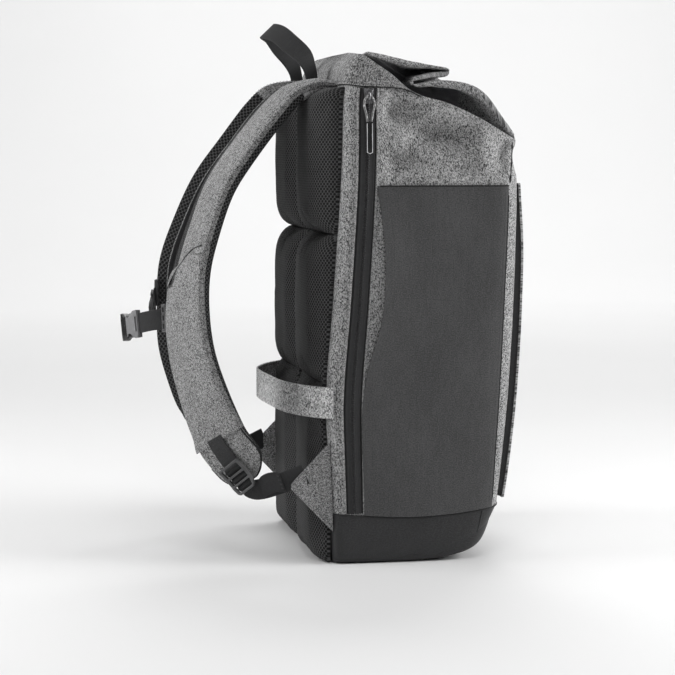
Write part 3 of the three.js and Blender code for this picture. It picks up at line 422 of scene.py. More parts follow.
class BackpackColours(bpy.types.PropertyGroup):
    """Colours of the cloths, plastics and the stage"""

    heather_dark: colour("Dark yarn", "Dark yarn of the melange cloth", (0.035, 0.035, 0.036))
    heather_light: colour("Light yarn", "Light yarn of the melange cloth", (0.50, 0.50, 0.50))
    coated: colour("Coated cloth", "Side pockets", (0.055, 0.055, 0.056))
    base: colour("Base", "Base tray", (0.023, 0.023, 0.024))
    strand: colour("Mesh strand", "Knitted strands of the air mesh", (0.072, 0.072, 0.073))
    hole: colour("Mesh hole", "Shade in the holes of the air mesh", (0.002, 0.002, 0.002))
    webbing: colour("Webbing", "Webbing and handle", (0.026, 0.026, 0.027))
    plastic: colour("Plastic", "Buckles and clips", (0.040, 0.040, 0.041))
    grip: colour("Grip", "Glossy zip grip", (0.012, 0.012, 0.012))
    tape: colour("Zip tape", "Zip tape and gusset", (0.026, 0.026, 0.027))
    metal: colour("Slider", "Zip slider", (0.17, 0.17, 0.175))
    cord: colour("Cord", "Pull cord", (0.16, 0.16, 0.16))
    fleck: colour("Cord fleck", "Light flecks of the pull cord", (0.50, 0.50, 0.50))
    thread: colour("Thread", "Sewing thread", (0.050, 0.050, 0.051))
    floor: colour("Floor", "Floor and backdrop", (0.73, 0.73, 0.73))


def sizes():
    return bpy.context.scene.backpack_sizes


def colours():
    return bpy.context.scene.backpack_colours


def millimetres(name):
    """A size of the settings in millimetres."""
    return getattr(sizes(), name) / MM


# Curves and grids of points

def lerp(a, b, share):
    return a + (b - a) * share


def unit(vectors):
    return vectors / np.maximum(np.linalg.norm(vectors, axis=-1, keepdims=True), 1e-9)


def smoothstep(low, high, value):
    share = np.clip((value - low) / (high - low), 0, 1)
    return share * share * (3 - 2 * share)


def window(rise, fall, value):
    """Rises from 0 to 1 over one stretch and falls back over another."""
    return smoothstep(*rise, value) * smoothstep(*fall, value)


def spline(rows, keyed=True):
    """Smooth curve through a table, by its first column or by the number of the row."""
    table = np.array(rows, float)
    keys = table[:, 0] if keyed else np.arange(len(table), dtype=float)
    values = table[:, 1:] if keyed else table
    shape = (-1,) + (1,) * (values.ndim - 1)
    slopes = np.diff(values, axis=0) / np.diff(keys).reshape(shape)
    slopes = np.concatenate([slopes[:1], (slopes[:-1] + slopes[1:]) / 2, slopes[-1:]])

    def at(place):
        place = np.clip(np.asarray(place, float), keys[0], keys[-1])
        i = np.clip(np.searchsorted(keys, place, side="right") - 1, 0, len(keys) - 2)
        more = place.shape + (1,) * (values.ndim - 1)
        step = (keys[i + 1] - keys[i]).reshape(more)
        t = (place - keys[i]).reshape(more) / step
        start = (2 * t + 1) * (1 - t) ** 2 * values[i] + t * (1 - t) ** 2 * step * slopes[i]
        end = (3 - 2 * t) * t * t * values[i + 1] - t * t * (1 - t) * step * slopes[i + 1]
        return start + end

    return at


def normals_of(grid, around=False):
    """Normals of a grid of points, by differences."""
    if around:
        across = np.roll(grid, -1, 1) - np.roll(grid, 1, 1)
    else:
        across = np.gradient(grid, axis=1)
    return unit(np.cross(across, np.gradient(grid, axis=0)))


def ripple(grid, size, seed):
    """Smooth noise from about -1 to 1 over a grid, with lumps of a size in millimetres."""
    shift = Vector((seed * 7.31, seed * 3.17, seed * 5.71))
    flat = (grid / np.asarray(size, float)).reshape(-1, 3)
    return np.array([noise.noise(Vector(p) + shift) for p in flat]).reshape(grid.shape[:2])


def lumps(grid, waves, shift=0):
    """Sum of waves of smooth noise over a grid, in millimetres."""
    return sum(height * ripple(grid, size, seed + shift) for height, size, seed in waves)


def on_grid(grid, places, normals):
    """Points and normals of a grid at places given as shares of its rows and columns."""
    normals = normals_of(grid) if normals is None else normals
    rows, columns = grid.shape[:2]
    places = np.asarray(places, float)
    r = np.clip(places[:, 0], 0, 1) * (rows - 1)
    c = np.clip(places[:, 1], 0, 1) * (columns - 1)
    i = np.minimum(r.astype(int), rows - 2)
    j = np.minimum(c.astype(int), columns - 2)
    u, v = (r - i)[:, None], (c - j)[:, None]

    def sample(field):
        low = lerp(field[i, j], field[i, j + 1], v)
        high = lerp(field[i + 1, j], field[i + 1, j + 1], v)
        return lerp(low, high, u)

    return sample(grid), unit(sample(normals))


def row_line(grid, share, count, reach, normals=None):
    """Points and normals along one row of a grid."""
    return on_grid(grid, [(share, place) for place in np.linspace(*reach, count)], normals)


def column_line(grid, share, count, reach, normals):
    """Points and normals along one column of a grid."""
    return on_grid(grid, [(place, share) for place in np.linspace(*reach, count)], normals)


def columns_at(places, keys, table):
    """Columns of a table at places between its keys."""
    return np.stack([np.interp(places, keys, column) for column in table.T], -1)


# Meshes

def cloth_uv(grid, around=False, exact=False):
    """UV of a grid in metres, from the mean lengths of its rows and columns, or from each one's own."""
    closed = np.concatenate([grid, grid[:, :1]], 1) if around else grid
    u = np.linalg.norm(np.diff(closed, axis=1), axis=2)
    v = np.linalg.norm(np.diff(closed, axis=0), axis=2)
    if not exact:
        u = np.broadcast_to(u.mean(0), u.shape)
        v = np.broadcast_to(v.mean(1)[:, None], v.shape)
    u = np.concatenate([0 * u[:, :1], np.cumsum(u, 1)], 1)
    v = np.concatenate([0 * v[:1], np.cumsum(v, 0)], 0)
    if exact:
        u = u - u[:, u.shape[1] // 2][:, None]
        v = v - v[v.shape[0] // 2]
    return np.stack([u, v], -1) * MM


def grid_faces(grid, offset, around=False, exact=False):
    """Quads of a grid and the UV of their corners."""
    rows, columns = grid.shape[:2]
    uv = cloth_uv(grid, around, exact)
    i, j = np.meshgrid(np.arange(rows - 1), np.arange(columns if around else columns - 1), indexing="ij")
    i, j = i.ravel(), j.ravel()
    corners = [(i, j), (i, j + 1), (i + 1, j + 1), (i + 1, j)]
    faces = np.stack([offset + a * columns + b % columns for a, b in corners], -1)
    return faces, np.stack([uv[a, b] for a, b in corners], 1)


def volume_of(points, faces):
    quads = points[faces]
    first = np.einsum("ij,ij->i", quads[:, 0], np.cross(quads[:, 1], quads[:, 2]))
    second = np.einsum("ij,ij->i", quads[:, 0], np.cross(quads[:, 2], quads[:, 3]))
    return first.sum() + second.sum()


def new_piece(name, points, faces):
    """Mesh object from points in millimetres."""
    mesh = bpy.data.meshes.new(name)
    mesh.from_pydata((points * MM).tolist(), [], faces)
    piece = bpy.data.objects.new(name, mesh)
    bpy.context.scene.collection.objects.link(piece)
    return piece


def sew(name, points, faces, uv, finish, slot, nodes=(), angle=40):
    """Mesh piece from quads, turned outwards, with its finish, its body and the solids it stands for."""
    if volume_of(points, faces) < 0:
        faces, uv = faces[:, ::-1], uv[:, ::-1]
    piece = new_piece(name, points, faces.tolist())
    layer = piece.data.uv_layers.new(name="cloth")
    layer.data.foreach_set("uv", np.ascontiguousarray(uv, np.float32).ravel())
    return dress(piece, finish, slot, nodes, angle)


def sew_web(name, rings, nodes=()):
    """Piece of webbing through rings."""
    sew(name, *tube(rings), "webbing", "webbing", nodes)


def dress(piece, finish, slot, nodes=(), angle=40):
    """Gives a piece its finish, smooth shading, its body and the solids it stands for."""
    piece.data.materials.clear()
    piece.data.materials.append(finish_named(finish))
    pick(piece)
    bpy.ops.object.shade_smooth_by_angle(angle=math.radians(angle))
    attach(piece, "root")
    if nodes:
        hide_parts(*nodes)
    return piece


def deselect():
    for other in bpy.context.selected_objects:
        other.select_set(False)


def pick(piece):
    """Makes a piece the only one selected, and the active one."""
    deselect()
    piece.select_set(True)
    bpy.context.view_layer.objects.active = piece


def slab(top, bottom, around=False, closed_start=False, exact=False):
    """Closed skin between two grids of the same shape."""
    rows, columns = top.shape[:2]
    under = rows * columns
    points = np.concatenate([top.reshape(-1, 3), bottom.reshape(-1, 3)])
    upper, upper_uv = grid_faces(top, 0, around, exact)
    lower, lower_uv = grid_faces(bottom, under, around, exact)
    index = np.arange(under).reshape(rows, columns)
    uv_of = cloth_uv(top, around, exact)[:, :columns].reshape(-1, 2)
    if around:
        loops = [index[-1]] if closed_start else [index[0][::-1], index[-1]]
        edges = [(loop, np.roll(loop, -1)) for loop in loops]
    else:
        border = np.concatenate([index[0, ::-1], index[1:, 0], index[-1, 1:], index[-2:0:-1, -1]])
        edges = [(border, np.roll(border, -1))]
    rims = [np.stack([b, a, a + under, b + under], -1) for a, b in edges]
    rim_uv = [np.stack([uv_of[b], uv_of[a], uv_of[a], uv_of[b]], 1) for a, b in edges]
    faces = np.concatenate([upper, lower[:, ::-1], *rims])
    uv = np.concatenate([upper_uv, lower_uv[:, ::-1], *rim_uv])
    return points, faces, uv


def end_caps(starts, count):
    """Quads that close rings of points, each given by its first point and the way that it turns."""
    caps = []
    for start, turn in starts:
        for k in range(count // 2 - 1):
            quad = [start + k, start + k + 1, start + count - 2 - k, start + count - 1 - k]
            caps.append(quad[::turn])
    return np.array(caps), np.zeros((len(caps), 4, 2))


def tube(rings):
    """Closed skin through closed rings, with its ends drawn together."""
    middles = rings.mean(1, keepdims=True)
    first = lerp(middles[:1], rings[:1], np.array([0.02, 0.6]).reshape(2, 1, 1))
    last = lerp(middles[-1:], rings[-1:], np.array([0.6, 0.02]).reshape(2, 1, 1))
    rings = np.concatenate([first, rings, last])
    faces, uv = grid_faces(rings, 0, True)
    count = rings.shape[1]
    caps, cap_uv = end_caps(((0, -1), ((len(rings) - 1) * count, 1)), count)
    return rings.reshape(-1, 3), np.concatenate([faces, caps]), np.concatenate([uv, cap_uv])


def joined(parts):
    """Several skins as one."""
    points, faces, uv = [], [], []
    count = 0
    for part_points, part_faces, part_uv in parts:
        points.append(part_points)
        faces.append(part_faces + count)
        uv.append(part_uv)
        count += len(part_points)
    return np.concatenate(points), np.concatenate(faces), np.concatenate(uv)


def resample(points, pitch):
    """Points at even steps along a line, and its directions there."""
    lengths = np.concatenate([[0], np.cumsum(np.linalg.norm(np.diff(points, axis=0), axis=1))])
    count = max(2, int(lengths[-1] / pitch))
    places = (np.arange(count) + 0.5) * lengths[-1] / count
    line = columns_at(places, lengths, points)
    return line, unit(np.gradient(line, axis=0)), places, lengths


def stitches(name, lines, slot="webbing"):
    """Rows of sewing thread along lines of points and normals."""
    pitch, length = millimetres("stitch_pitch"), millimetres("stitch_length")
    radius = millimetres("stitch_radius")
    every_point, every_face = [], []
    count = 0
    for points, normals in lines:
        line, ahead, places, lengths = resample(points, pitch)
        out = unit(columns_at(places, lengths, normals))
        side = unit(np.cross(ahead, out))
        ends = [line - ahead * length / 2 - out * radius, line + ahead * length / 2 - out * radius]
        belly = []
        for sign in (-0.5, 0.5):
            middle = line + ahead * length / 2 * sign
            belly += [middle + side * radius, middle + out * radius, middle - side * radius]
        block = np.stack([*ends, *belly], 1)
        every_point.append(block.reshape(-1, 3))
        for _ in line:
            every_face += [[count + k for k in face] for face in STITCH_FACES]
            count += STITCH_POINTS
    dress(new_piece(name, np.concatenate(every_point), every_face), "thread", slot)


def piping(points, radius, sides=8):
    """Round tube along a line of points."""
    ahead = unit(np.gradient(points, axis=0))
    side = unit(np.cross(ahead, PIPING_ASIDE))
    out = np.cross(side, ahead)
    turns = np.linspace(0, 2 * np.pi, sides, endpoint=False)
    ring = np.cos(turns)[None, :, None] * side[:, None] + np.sin(turns)[None, :, None] * out[:, None]
    return tube(points[:, None] + radius * ring)


def mirrored(grid):
    return grid * np.array([-1, 1, 1])


# Body

body_at = spline(BODY_LEVELS)
base_at = spline(BASE_LEVELS, keyed=False)
rim_at = spline(RIM_LEVELS)
seam_at = spline(SEAM_LEVELS)
collar_at = spline(COLLAR_LEVELS)


def rounded(share, power):
    return np.maximum(1 - np.abs(share) ** power, 0) ** (1 / power)


def side_across(along):
    return rounded(2 * along - 1, np.where(along > 0.5, REAR_SQUARENESS, FRONT_SQUARENESS))


def section(side_count, face_count):
    """Places round the body: across and along, from the right front corner by the back to the front."""
    share = np.linspace(0, 1, side_count)
    along = lerp(*SIDE_REACH, 0.5 - 0.5 * np.cos(np.pi * share))
    across = side_across(along)
    turn = np.linspace(0, 1, face_count + 2)[1:-1]
    rear = np.interp(turn, FACE_TURNS, [across[-1], REAR_FACE, -REAR_FACE, -across[-1]])
    front = np.interp(turn, FACE_TURNS, [-across[0], -FRONT_FACE, FRONT_FACE, across[0]])
    everything_across = np.concatenate([across, rear, -across[::-1], front])
    rear_along = 0.5 + 0.5 * rounded(rear, REAR_SQUARENESS)
    front_along = 0.5 - 0.5 * rounded(front, FRONT_SQUARENESS)
    return everything_across, np.concatenate([along, rear_along, along[::-1], front_along])


def level_point(level, across, along, z, inset=0.0):
    rear, front, half = np.moveaxis(level, -1, 0)
    y = lerp(front + inset, rear - inset, along)
    return np.stack([across * (half - inset), y, np.broadcast_to(z, y.shape)], -1)


def wall_point(across, along, z):
    return level_point(body_at(z), across, along, z)


def left_side(along, z, lift):
    """Points on the wearer's left side, lifted off the wall."""
    along, z, lift = np.broadcast_arrays(np.asarray(along, float), z, lift)
    reach = 0.004

    def place(share, height):
        return wall_point(-side_across(share), share, height)

    rearwards = place(np.minimum(along + reach, 0.995), z) - place(along - reach, z)
    upwards = place(along, z + 1) - place(along, z - 1)
    normal = unit(np.cross(upwards, rearwards))
    normal = normal * np.where(normal[..., :1] > 0, -1, 1)
    return place(along, z) + lift[..., None] * normal


def wall_y(x, z, sign):
    rear, front, half = np.moveaxis(body_at(z), -1, 0)
    power = REAR_SQUARENESS if sign > 0 else FRONT_SQUARENESS
    return (rear + front) / 2 + sign * rounded(x / half, power) * (rear - front) / 2


def crown_at(across):
    """Rise of the rim along the back: crowned, with a dip beside the left corner."""
    dip = np.exp(-((across - RIM_CROWN["at"]) / RIM_CROWN["wide"]) ** 2)
    return RIM_CROWN["rise"] * (1 - across ** 2) - RIM_CROWN["dip"] * dip


def rim_height(across, along):
    return rim_at(along)[:, 0] + smoothstep(0.95, 0.999, along) * crown_at(across)


def creases(grid, along):
    """Soft folds of the slack cloth above the pockets and under the folded top."""
    z = grid[..., 2]
    slack = smoothstep(*SLACK["start"], z) * smoothstep(0, SLACK["rim"], rim_at(along)[..., 0] - z)
    zip_side = np.where(grid[..., 0] < 0, smoothstep(*SLACK["zip"], along), 1)
    slack = slack * zip_side * smoothstep(*SLACK["back"], along)
    lean = grid + np.stack([0 * z, SLACK["lean"] * (z - SLACK["level"]), 0 * z], -1)
    folds = lumps(lean, FOLD_LUMPS)
    for y, height, wide, tall, depth in DENTS:
        folds = folds - depth * np.exp(-((grid[..., 1] - y) / wide) ** 2 - ((z - height) / tall) ** 2)
    return slack * folds + lumps(grid, WALL_LUMPS)


def make_body():
    across, along = section(84, 56)
    share = np.linspace(0, 1, 120)[:, None]
    z = lerp(seam_at(along)[:, 0], rim_height(across, along), share)
    grid = wall_point(across + 0 * z, along + 0 * z, z)
    normals = normals_of(grid, True)
    grid = grid + normals * creases(grid, along + 0 * z)[..., None]
    inner = grid - normals * millimetres("cloth_wall")
    sew("body_cloth", *slab(grid, inner, around=True), "heather", "heather_cloth", ["body_shell"])


def make_collar():
    """Band of cloth round the back of the rim, with its stitches, a dark line under it that paints its
    shadow, and the dark seams of the body.
    """
    corner = lerp(COLLAR["turn"], COLLAR["to"], np.linspace(0, 1, 12) ** 0.7)
    side_along = np.concatenate([np.linspace(COLLAR["from"], COLLAR["turn"], 50), corner])
    side = side_across(side_along)
    face = np.linspace(side[-1], -side[-1], 62)[1:-1]
    across = np.concatenate([side, face, -side[::-1]])
    face_along = 0.5 + 0.5 * rounded(face, REAR_SQUARENESS)
    along = np.concatenate([side_along, face_along, side_along[::-1]])
    low, high = collar_at(np.minimum(along, 1))[:, 0], rim_height(across, along)
    rows = np.linspace(0, 1, 22)[:, None]
    z = lerp(np.minimum(low, high - 0.5), high, rows)
    grid = wall_point(across + 0 * z, along + 0 * z, z)
    normals = normals_of(grid)
    calm = window((0, 0.2), (1, 0.8), rows)
    outer = grid + normals * (COLLAR["outer"] + lumps(grid, COLLAR_LUMPS) * calm)[..., None]
    inner = grid + normals * COLLAR["inner"]
    # The collar gets a darker copy of the cloth: painted shade.
    sew("collar", *slab(outer, inner), "heather_collar", "heather_cloth")
    stitches("collar_stitches", [row_line(outer, COLLAR["stitches"], 260, (0.02, 0.98))])
    # A dark line under the collar's lower edge paints its shadow.
    edge = outer[0] + np.array([0, 0, -COLLAR_SHADOW["down"]]) - normals[0] * COLLAR_SHADOW["in"]
    seams_and_shadow = [piping(edge, COLLAR_SHADOW["radius"])]
    heights, places = zip(*CORNER_SEAM)
    z = np.linspace(PANEL_TOP + 3, heights[-1], 40)
    least, more, short, long = PUCKER
    pucker = least + more * np.abs(np.sin(z * short)) * np.sin(z * long) ** 2
    line = left_side(np.interp(z, heights, places), z, 0.1)
    for seam in (line, mirrored(line)):
        seams_and_shadow.append(piping(seam, pucker[:, None, None]))
    sew("body_seams", *joined(seams_and_shadow), "dark_seam", "heather_cloth")


def base_level(z):
    """Row of the base's outline at a height."""
    return base_at(np.interp(z, [row[0] for row in BASE_LEVELS], np.arange(len(BASE_LEVELS))))


def make_base():
    across, along = section(84, 56)
    seam = seam_at(along)[:, 0]
    levels = base_at(np.linspace(0, len(BASE_LEVELS) - 1, 44))

    def rings(inset):
        ring = level_point(levels[:1, 1:], across, along, inset, inset)
        made = [lerp(ring.mean(0), ring, share) for share in BASE_FLOOR]
        for level in levels:
            height = np.clip(level[0] / SEAM_Z, 0, 1)
            outer = height * (seam - 0.2)
            z = lerp(inset, outer, height) if inset else outer
            made.append(level_point(level[None, 1:], across, along, z, inset))
        return np.array(made)

    outer, inner = rings(0.0), rings(millimetres("base_wall"))
    normals = normals_of(outer, True)
    fade = smoothstep(2, 14, outer[..., 2]) * smoothstep(0, 10, seam - outer[..., 2])
    outer = outer + normals * (fade * lumps(outer, BASE_LUMPS))[..., None]
    points, faces, uv = slab(outer, inner, around=True, closed_start=True)
    count = outer.shape[1]
    caps, cap_uv = end_caps(((0, -1), (outer.shape[0] * count, 1)), count)
    faces, uv = np.concatenate([faces, caps]), np.concatenate([uv, cap_uv])
    sew("base_cloth", points, faces, uv, "base", "coated_cloth", ["base_tray"])

    lift = BASE_PIPING["lift"]
    ring = wall_point(across, along, seam + lift)
    ring = ring + unit(ring - ring.mean(0)) * 0.1
    cords = [piping(np.concatenate([ring, ring[:1]]), BASE_PIPING["seam"])]
    steps = np.linspace(0, len(BASE_CORNER) - 1, 40)
    y, z = columns_at(steps, np.arange(len(BASE_CORNER)), np.array(BASE_CORNER)).T
    foot = np.linspace(BASE_FOOT[0][0], 0.985, 60)
    height = np.interp(foot, *zip(*BASE_FOOT))
    for side in (-1, 1):
        _, rear, front, half = base_level(z).T
        share = np.clip((y - front) / (rear - front), 0.02, 0.98)
        x = side * side_across(share) * half
        line = np.stack([x, y, z * seam_at(share)[:, 0] / SEAM_Z + lift], -1)
        cords.append(piping(line, BASE_PIPING["corner"]))
        foot_z = height * seam_at(foot)[:, 0] / SEAM_Z
        line = level_point(base_level(height)[:, 1:], side * side_across(foot), foot, foot_z)
        cords.append(piping(line, BASE_PIPING["foot"]))
    sew("base_piping", *joined(cords), "tape", "coated_cloth")


# Roll top

def roll_ring(row, share, turn):
    """Ring of the folded top: right fold, back sheet, left fold and front sheet."""
    back_y, back_z, front_y, front_z, half, tuck, hang, turn_y, turn_z = row
    back, front = np.array([back_y, back_z]), np.array([front_y, front_z])
    gap = np.linalg.norm(front - back)
    slit = (front - back) / gap * min(FOLD["slit"], 0.1 * gap)
    middle = (back + front) / 2
    near, far = FOLD["ways"]

    def sheet(edge, bend, end):
        halfway = 0.5 * bend
        inwards = [lerp(edge, middle, near) + halfway, lerp(edge, middle, far), end]
        return [edge, edge + halfway, edge + bend, *inwards]

    fore = sheet(front, np.array([turn_y, turn_z]), middle + slit)
    rear = sheet(back, np.array([0, -hang]), middle - slit)
    reach = [half, half + 0.5, half - 1.4, *(half - part * tuck for part in (*FOLD["tucks"], 1))]
    reach = np.array(reach + reach[::-1])
    stations = np.column_stack([reach, np.array(fore + rear[::-1])])
    side = columns_at(share * (len(reach) - 1), np.arange(len(reach)), stations)
    x = half * (1 - 2 * turn)
    rear = np.stack([x, 0 * x + back_y, back_z + crown_at(x / half)], -1)
    fore = np.stack([-x, 0 * x + front_y, 0 * x + front_z], -1)
    return np.concatenate([side, rear, mirrored(side)[::-1], fore])


def make_roll_top():
    side_count, face_count = 110, 56
    across, along = section(side_count, face_count)
    share = np.linspace(0, 1, side_count)
    turn = np.linspace(0, 1, face_count + 2)[1:-1]
    rim = wall_point(across, along, rim_height(across, along))
    rows = [roll_ring(row, share, turn) for row in ROLL_ROWS]
    inside = window((0.02, 0.2), (0.98, 0.8), share)
    inside = np.concatenate([inside, 0 * turn, inside[::-1], 0 * turn])[:, None]
    outside = np.sign(across)[:, None]
    ledge = rim + inside * (outside * np.array([-LEDGE_DEPTH, 0, 0]) + np.array([0, 0, -LEDGE_DIP]))
    ledge = lerp(lerp(rim, rows[0], 0.5), ledge, inside)
    rings = np.array([rim, ledge, *rows])
    for _ in range(6):
        soft = (np.roll(rings, 1, 1) + 2 * rings + np.roll(rings, -1, 1)) / 4
        rings[1:] = soft[1:]
    grid = spline(rings, keyed=False)(np.linspace(0, len(rings) - 1, 118))
    normals = normals_of(grid, True)
    depth = np.linspace(0, 1, len(grid))[:, None]
    calm = smoothstep(0, 0.12, depth)
    grid = grid + normals * (calm * lumps(grid, ROLL_LUMPS))[..., None]
    inner = grid - normals_of(grid, True) * millimetres("roll_wall")
    skin = slab(grid, inner, around=True, exact=True)
    cloth = sew("roll_cloth", *skin, "heather", "heather_cloth", ["roll_top"], 60)
    # The inside of a fold is painted: a lighter copy of the cloth for the light in it and, deeper in, a plain
    # darker sheet for its shade. Near the hem the plain cloth comes back.
    fold, sheet = (share > FOLD["lining"]) & (share < 1 - FOLD["lining"]), turn > 1
    fold = np.concatenate([fold, sheet, fold, sheet])
    line_faces(cloth, fold, "heather_shade")
    line_faces(cloth, fold, "lining", lambda place: place.y > FOLD["shade"] * MM)
    line_faces(cloth, fold, "heather", lambda place: place.y < HEM["y"] * MM and place.z > HEM["z"] * MM)


def line_faces(piece, columns, finish, where=None):
    """Gives the faces that lie in marked columns of a grid, and where asked, another finish."""
    piece.data.materials.append(finish_named(finish))
    for face in piece.data.polygons:
        marked = all(columns[corner % len(columns)] for corner in face.vertices)
        if marked and (where is None or where(face.center)):
            face.material_index = len(piece.data.materials) - 1


# Pockets

def panel_grid(lift):
    """Left side pocket. Its columns crowd at the front corner, and its rear edge stands open."""
    rear_at, front_at = spline(PANEL_EDGE), spline(PANEL_FRONT)
    height = np.linspace(0, 1, 70)[:, None]
    share = np.sin(np.linspace(0, 1, 76) * np.pi / 2)
    rear = rear_at(lerp(SEAM_Z, PANEL_TOP, height))[..., 0]
    front = front_at(lerp(SEAM_Z, PANEL_TOP, height))[..., 0]
    open_share = np.clip((GAPE["shut"] - rear) / GAPE["room"], 0, 1)
    near = np.clip(1 - share * (rear - front) / GAPE["reach"], 0, 1)
    along = lerp(rear, front, share)
    z = lerp(seam_at(along)[..., 0] + PANEL_RISE, PANEL_TOP, height)
    return left_side(along, z, lift + GAPE["height"] * open_share * near * near)


def make_side_pockets():
    wall = millimetres("coated_wall")
    for name, side in SIDES:
        top, bottom = panel_grid(PANEL_LIFT + wall), panel_grid(PANEL_LIFT)
        rows = np.linspace(0, 1, top.shape[0])[:, None]
        calm = window((0, 0.06), (1, 0.94), rows)
        shift = np.abs(calm * lumps(top, PANEL_LUMPS, side))[..., None] * np.array([-1, 0, 0])
        top, bottom = top + shift, bottom + shift
        if side > 0:
            top, bottom = mirrored(top), mirrored(bottom)
        sew(f"side_pocket_{name}", *slab(top, bottom), "coated", "coated_cloth", [f"side_panel_{name}"])
        normals = normals_of(top) * (1 if normals_of(top)[0, 0, 0] * side > 0 else -1)
        lines = [row_line(top, PANEL_STITCHES["row"], 160, (0.03, 0.985), normals)]
        for column in PANEL_STITCHES["columns"]:
            lines.append(column_line(top, column, 160, (0.02, 0.98), normals))
        stitches(f"side_pocket_stitches_{name}", lines, slot="coated_cloth")
        edges = [piping(*edge) for edge in zip((top[-1, 1:-1], top[2:-2, -1]), PANEL_PIPING)]
        sew(f"side_pocket_edge_{name}", *joined(edges), "dark_seam", "coated_cloth")


def pocket_y(x, z):
    """Front of the front pocket, which tapers to the wall at its top."""
    rise = np.sin(np.pi * (z - POCKET["bottom"]) / (POCKET["top"] - POCKET["bottom"]))
    dome = 1 - 0.3 * np.abs(x / POCKET["half"]) ** 4
    rim = POCKET["rim"] * lerp(0.2, 1.0, smoothstep(POCKET["top"], POCKET["top"] - POCKET["taper"], z))
    return body_at(z)[..., 1] - rim - POCKET["bulge"] * np.maximum(rise, 0) ** 0.7 * dome


def make_front_pocket():
    rows, columns = POCKET_GRID
    spread = np.linspace(-1, 1, columns)

    def grid(inset, depth):
        z = np.linspace(POCKET["bottom"] + inset, POCKET["top"] - inset, rows)[:, None]
        x, z = np.broadcast_arrays((POCKET["half"] - inset) * np.sin(spread * np.pi / 2), z)
        return np.stack([x, depth(x, z), z], -1)

    behind = grid(POCKET["gusset"], lambda x, z: pocket_y(x, z) + POCKET["face"] + POCKET["seam"])
    against = grid(POCKET["gusset"], lambda x, z: wall_y(x, z, -1) - PANEL_LIFT)
    sew("pocket_gusset_cloth", *slab(behind, against), "tape", "zip", ["pocket_gusset"])
    top = grid(0, pocket_y)
    shift = lumps(top, POCKET_LUMPS)[..., None] * np.array([0, 1, 0])
    back = grid(0, lambda x, z: pocket_y(x, z) + POCKET["face"])
    calm = (np.abs(spread) < 0.97)[None, :, None]
    sew("pocket_cloth", *slab(top - np.abs(shift) * calm, back), "heather", "heather_cloth", ["pocket_face"])
    normals = np.broadcast_to(np.array([0.0, -1, 0]), top.shape)
    lines = [row_line(top, row, 200, (0.12, 0.88), normals) for row in POCKET_STITCHES["rows"]]
    lines += [column_line(top, column, 200, (0.03, 0.97), normals) for column in POCKET_STITCHES["columns"]]
    stitches("pocket_stitches", lines, slot="heather_cloth")


# Zip

def zip_frame():
    """Place and axes of the zip pull: across, up and out."""
    foot, tip = (left_side(ZIP_MIDDLE, PULL["z"], PULL["lift"] + more) for more in (0, 1))
    out = unit(tip - foot)
    up = unit(np.array([0, 0, 1]) - out * out[2])
    return basis(np.cross(up, out), up, out, foot)


def make_zip():
    z = np.linspace(ZIP["bottom"], ZIP["top"], 170)[:, None]
    rear, front, chain, gutter = ZIP["rear"], ZIP["front"], ZIP["chain"], ZIP["gutter"]

    def strip(edges, heights, thick):
        along = np.array(edges)
        top = left_side(along, z, np.array(heights))
        return slab(top, left_side(along, z, np.array(heights) - thick))

    steps, inner = np.array(TAPE_OUTER), np.array(TAPE_INNER)
    rear_edges = np.concatenate([rear - steps, ZIP_MIDDLE + inner])
    front_edges = np.concatenate([front + steps, ZIP_MIDDLE - inner])[::-1]
    tapes = [strip(rear_edges, TAPE_HEIGHTS, TAPE_THICK), strip(front_edges, TAPE_HEIGHTS[::-1], TAPE_THICK)]
    sew("zip_tapes", *joined(tapes), "tape", "zip", ["zip_tape"])

    pitch = millimetres("tooth_pitch")
    lift, drop = np.array(TOOTH["heights"]), np.array(TOOTH["drops"])[:, None]
    teeth = []
    for k, height in enumerate(np.arange(ZIP["bottom"] + pitch, ZIP["top"] - 8, pitch)):
        lean = TOOTH["lean"] if k % 2 else -TOOTH["lean"]
        along = ZIP_MIDDLE + lean + np.array(TOOTH["across"]) * chain
        rows = height + np.array(TOOTH["up"])[:, None]
        foot = left_side(along, rows, 0 * lift + TOOTH["foot"])
        teeth.append(slab(left_side(along, rows, lift - drop), foot))
    sew("zip_teeth", *joined(teeth), "tooth", "zip", ["zip_chain"])

    # Dark strips beside the tapes paint the shadow in the gaps before the welts.
    sides = ([rear + gutter, rear - SHADOW_GAP["under"]], [front + SHADOW_GAP["under"], front - gutter])
    shadow_gaps = [strip(edges, 2 * [SHADOW_GAP["height"]], SHADOW_GAP["thick"]) for edges in sides]
    sew("zip_gutters", *joined(shadow_gaps), "dark_seam", "zip")
    height = z[:, 0]
    welts = []
    for along in (rear + gutter + SHADOW_GAP["welt"], front - gutter - SHADOW_GAP["welt"]):
        line = left_side(along + 0 * height, height, SHADOW_GAP["welt_lift"])
        welts.append(piping(line, SHADOW_GAP["welt_radius"]))
    sew("zip_welts", *joined(welts), "heather_fine", "heather_cloth")


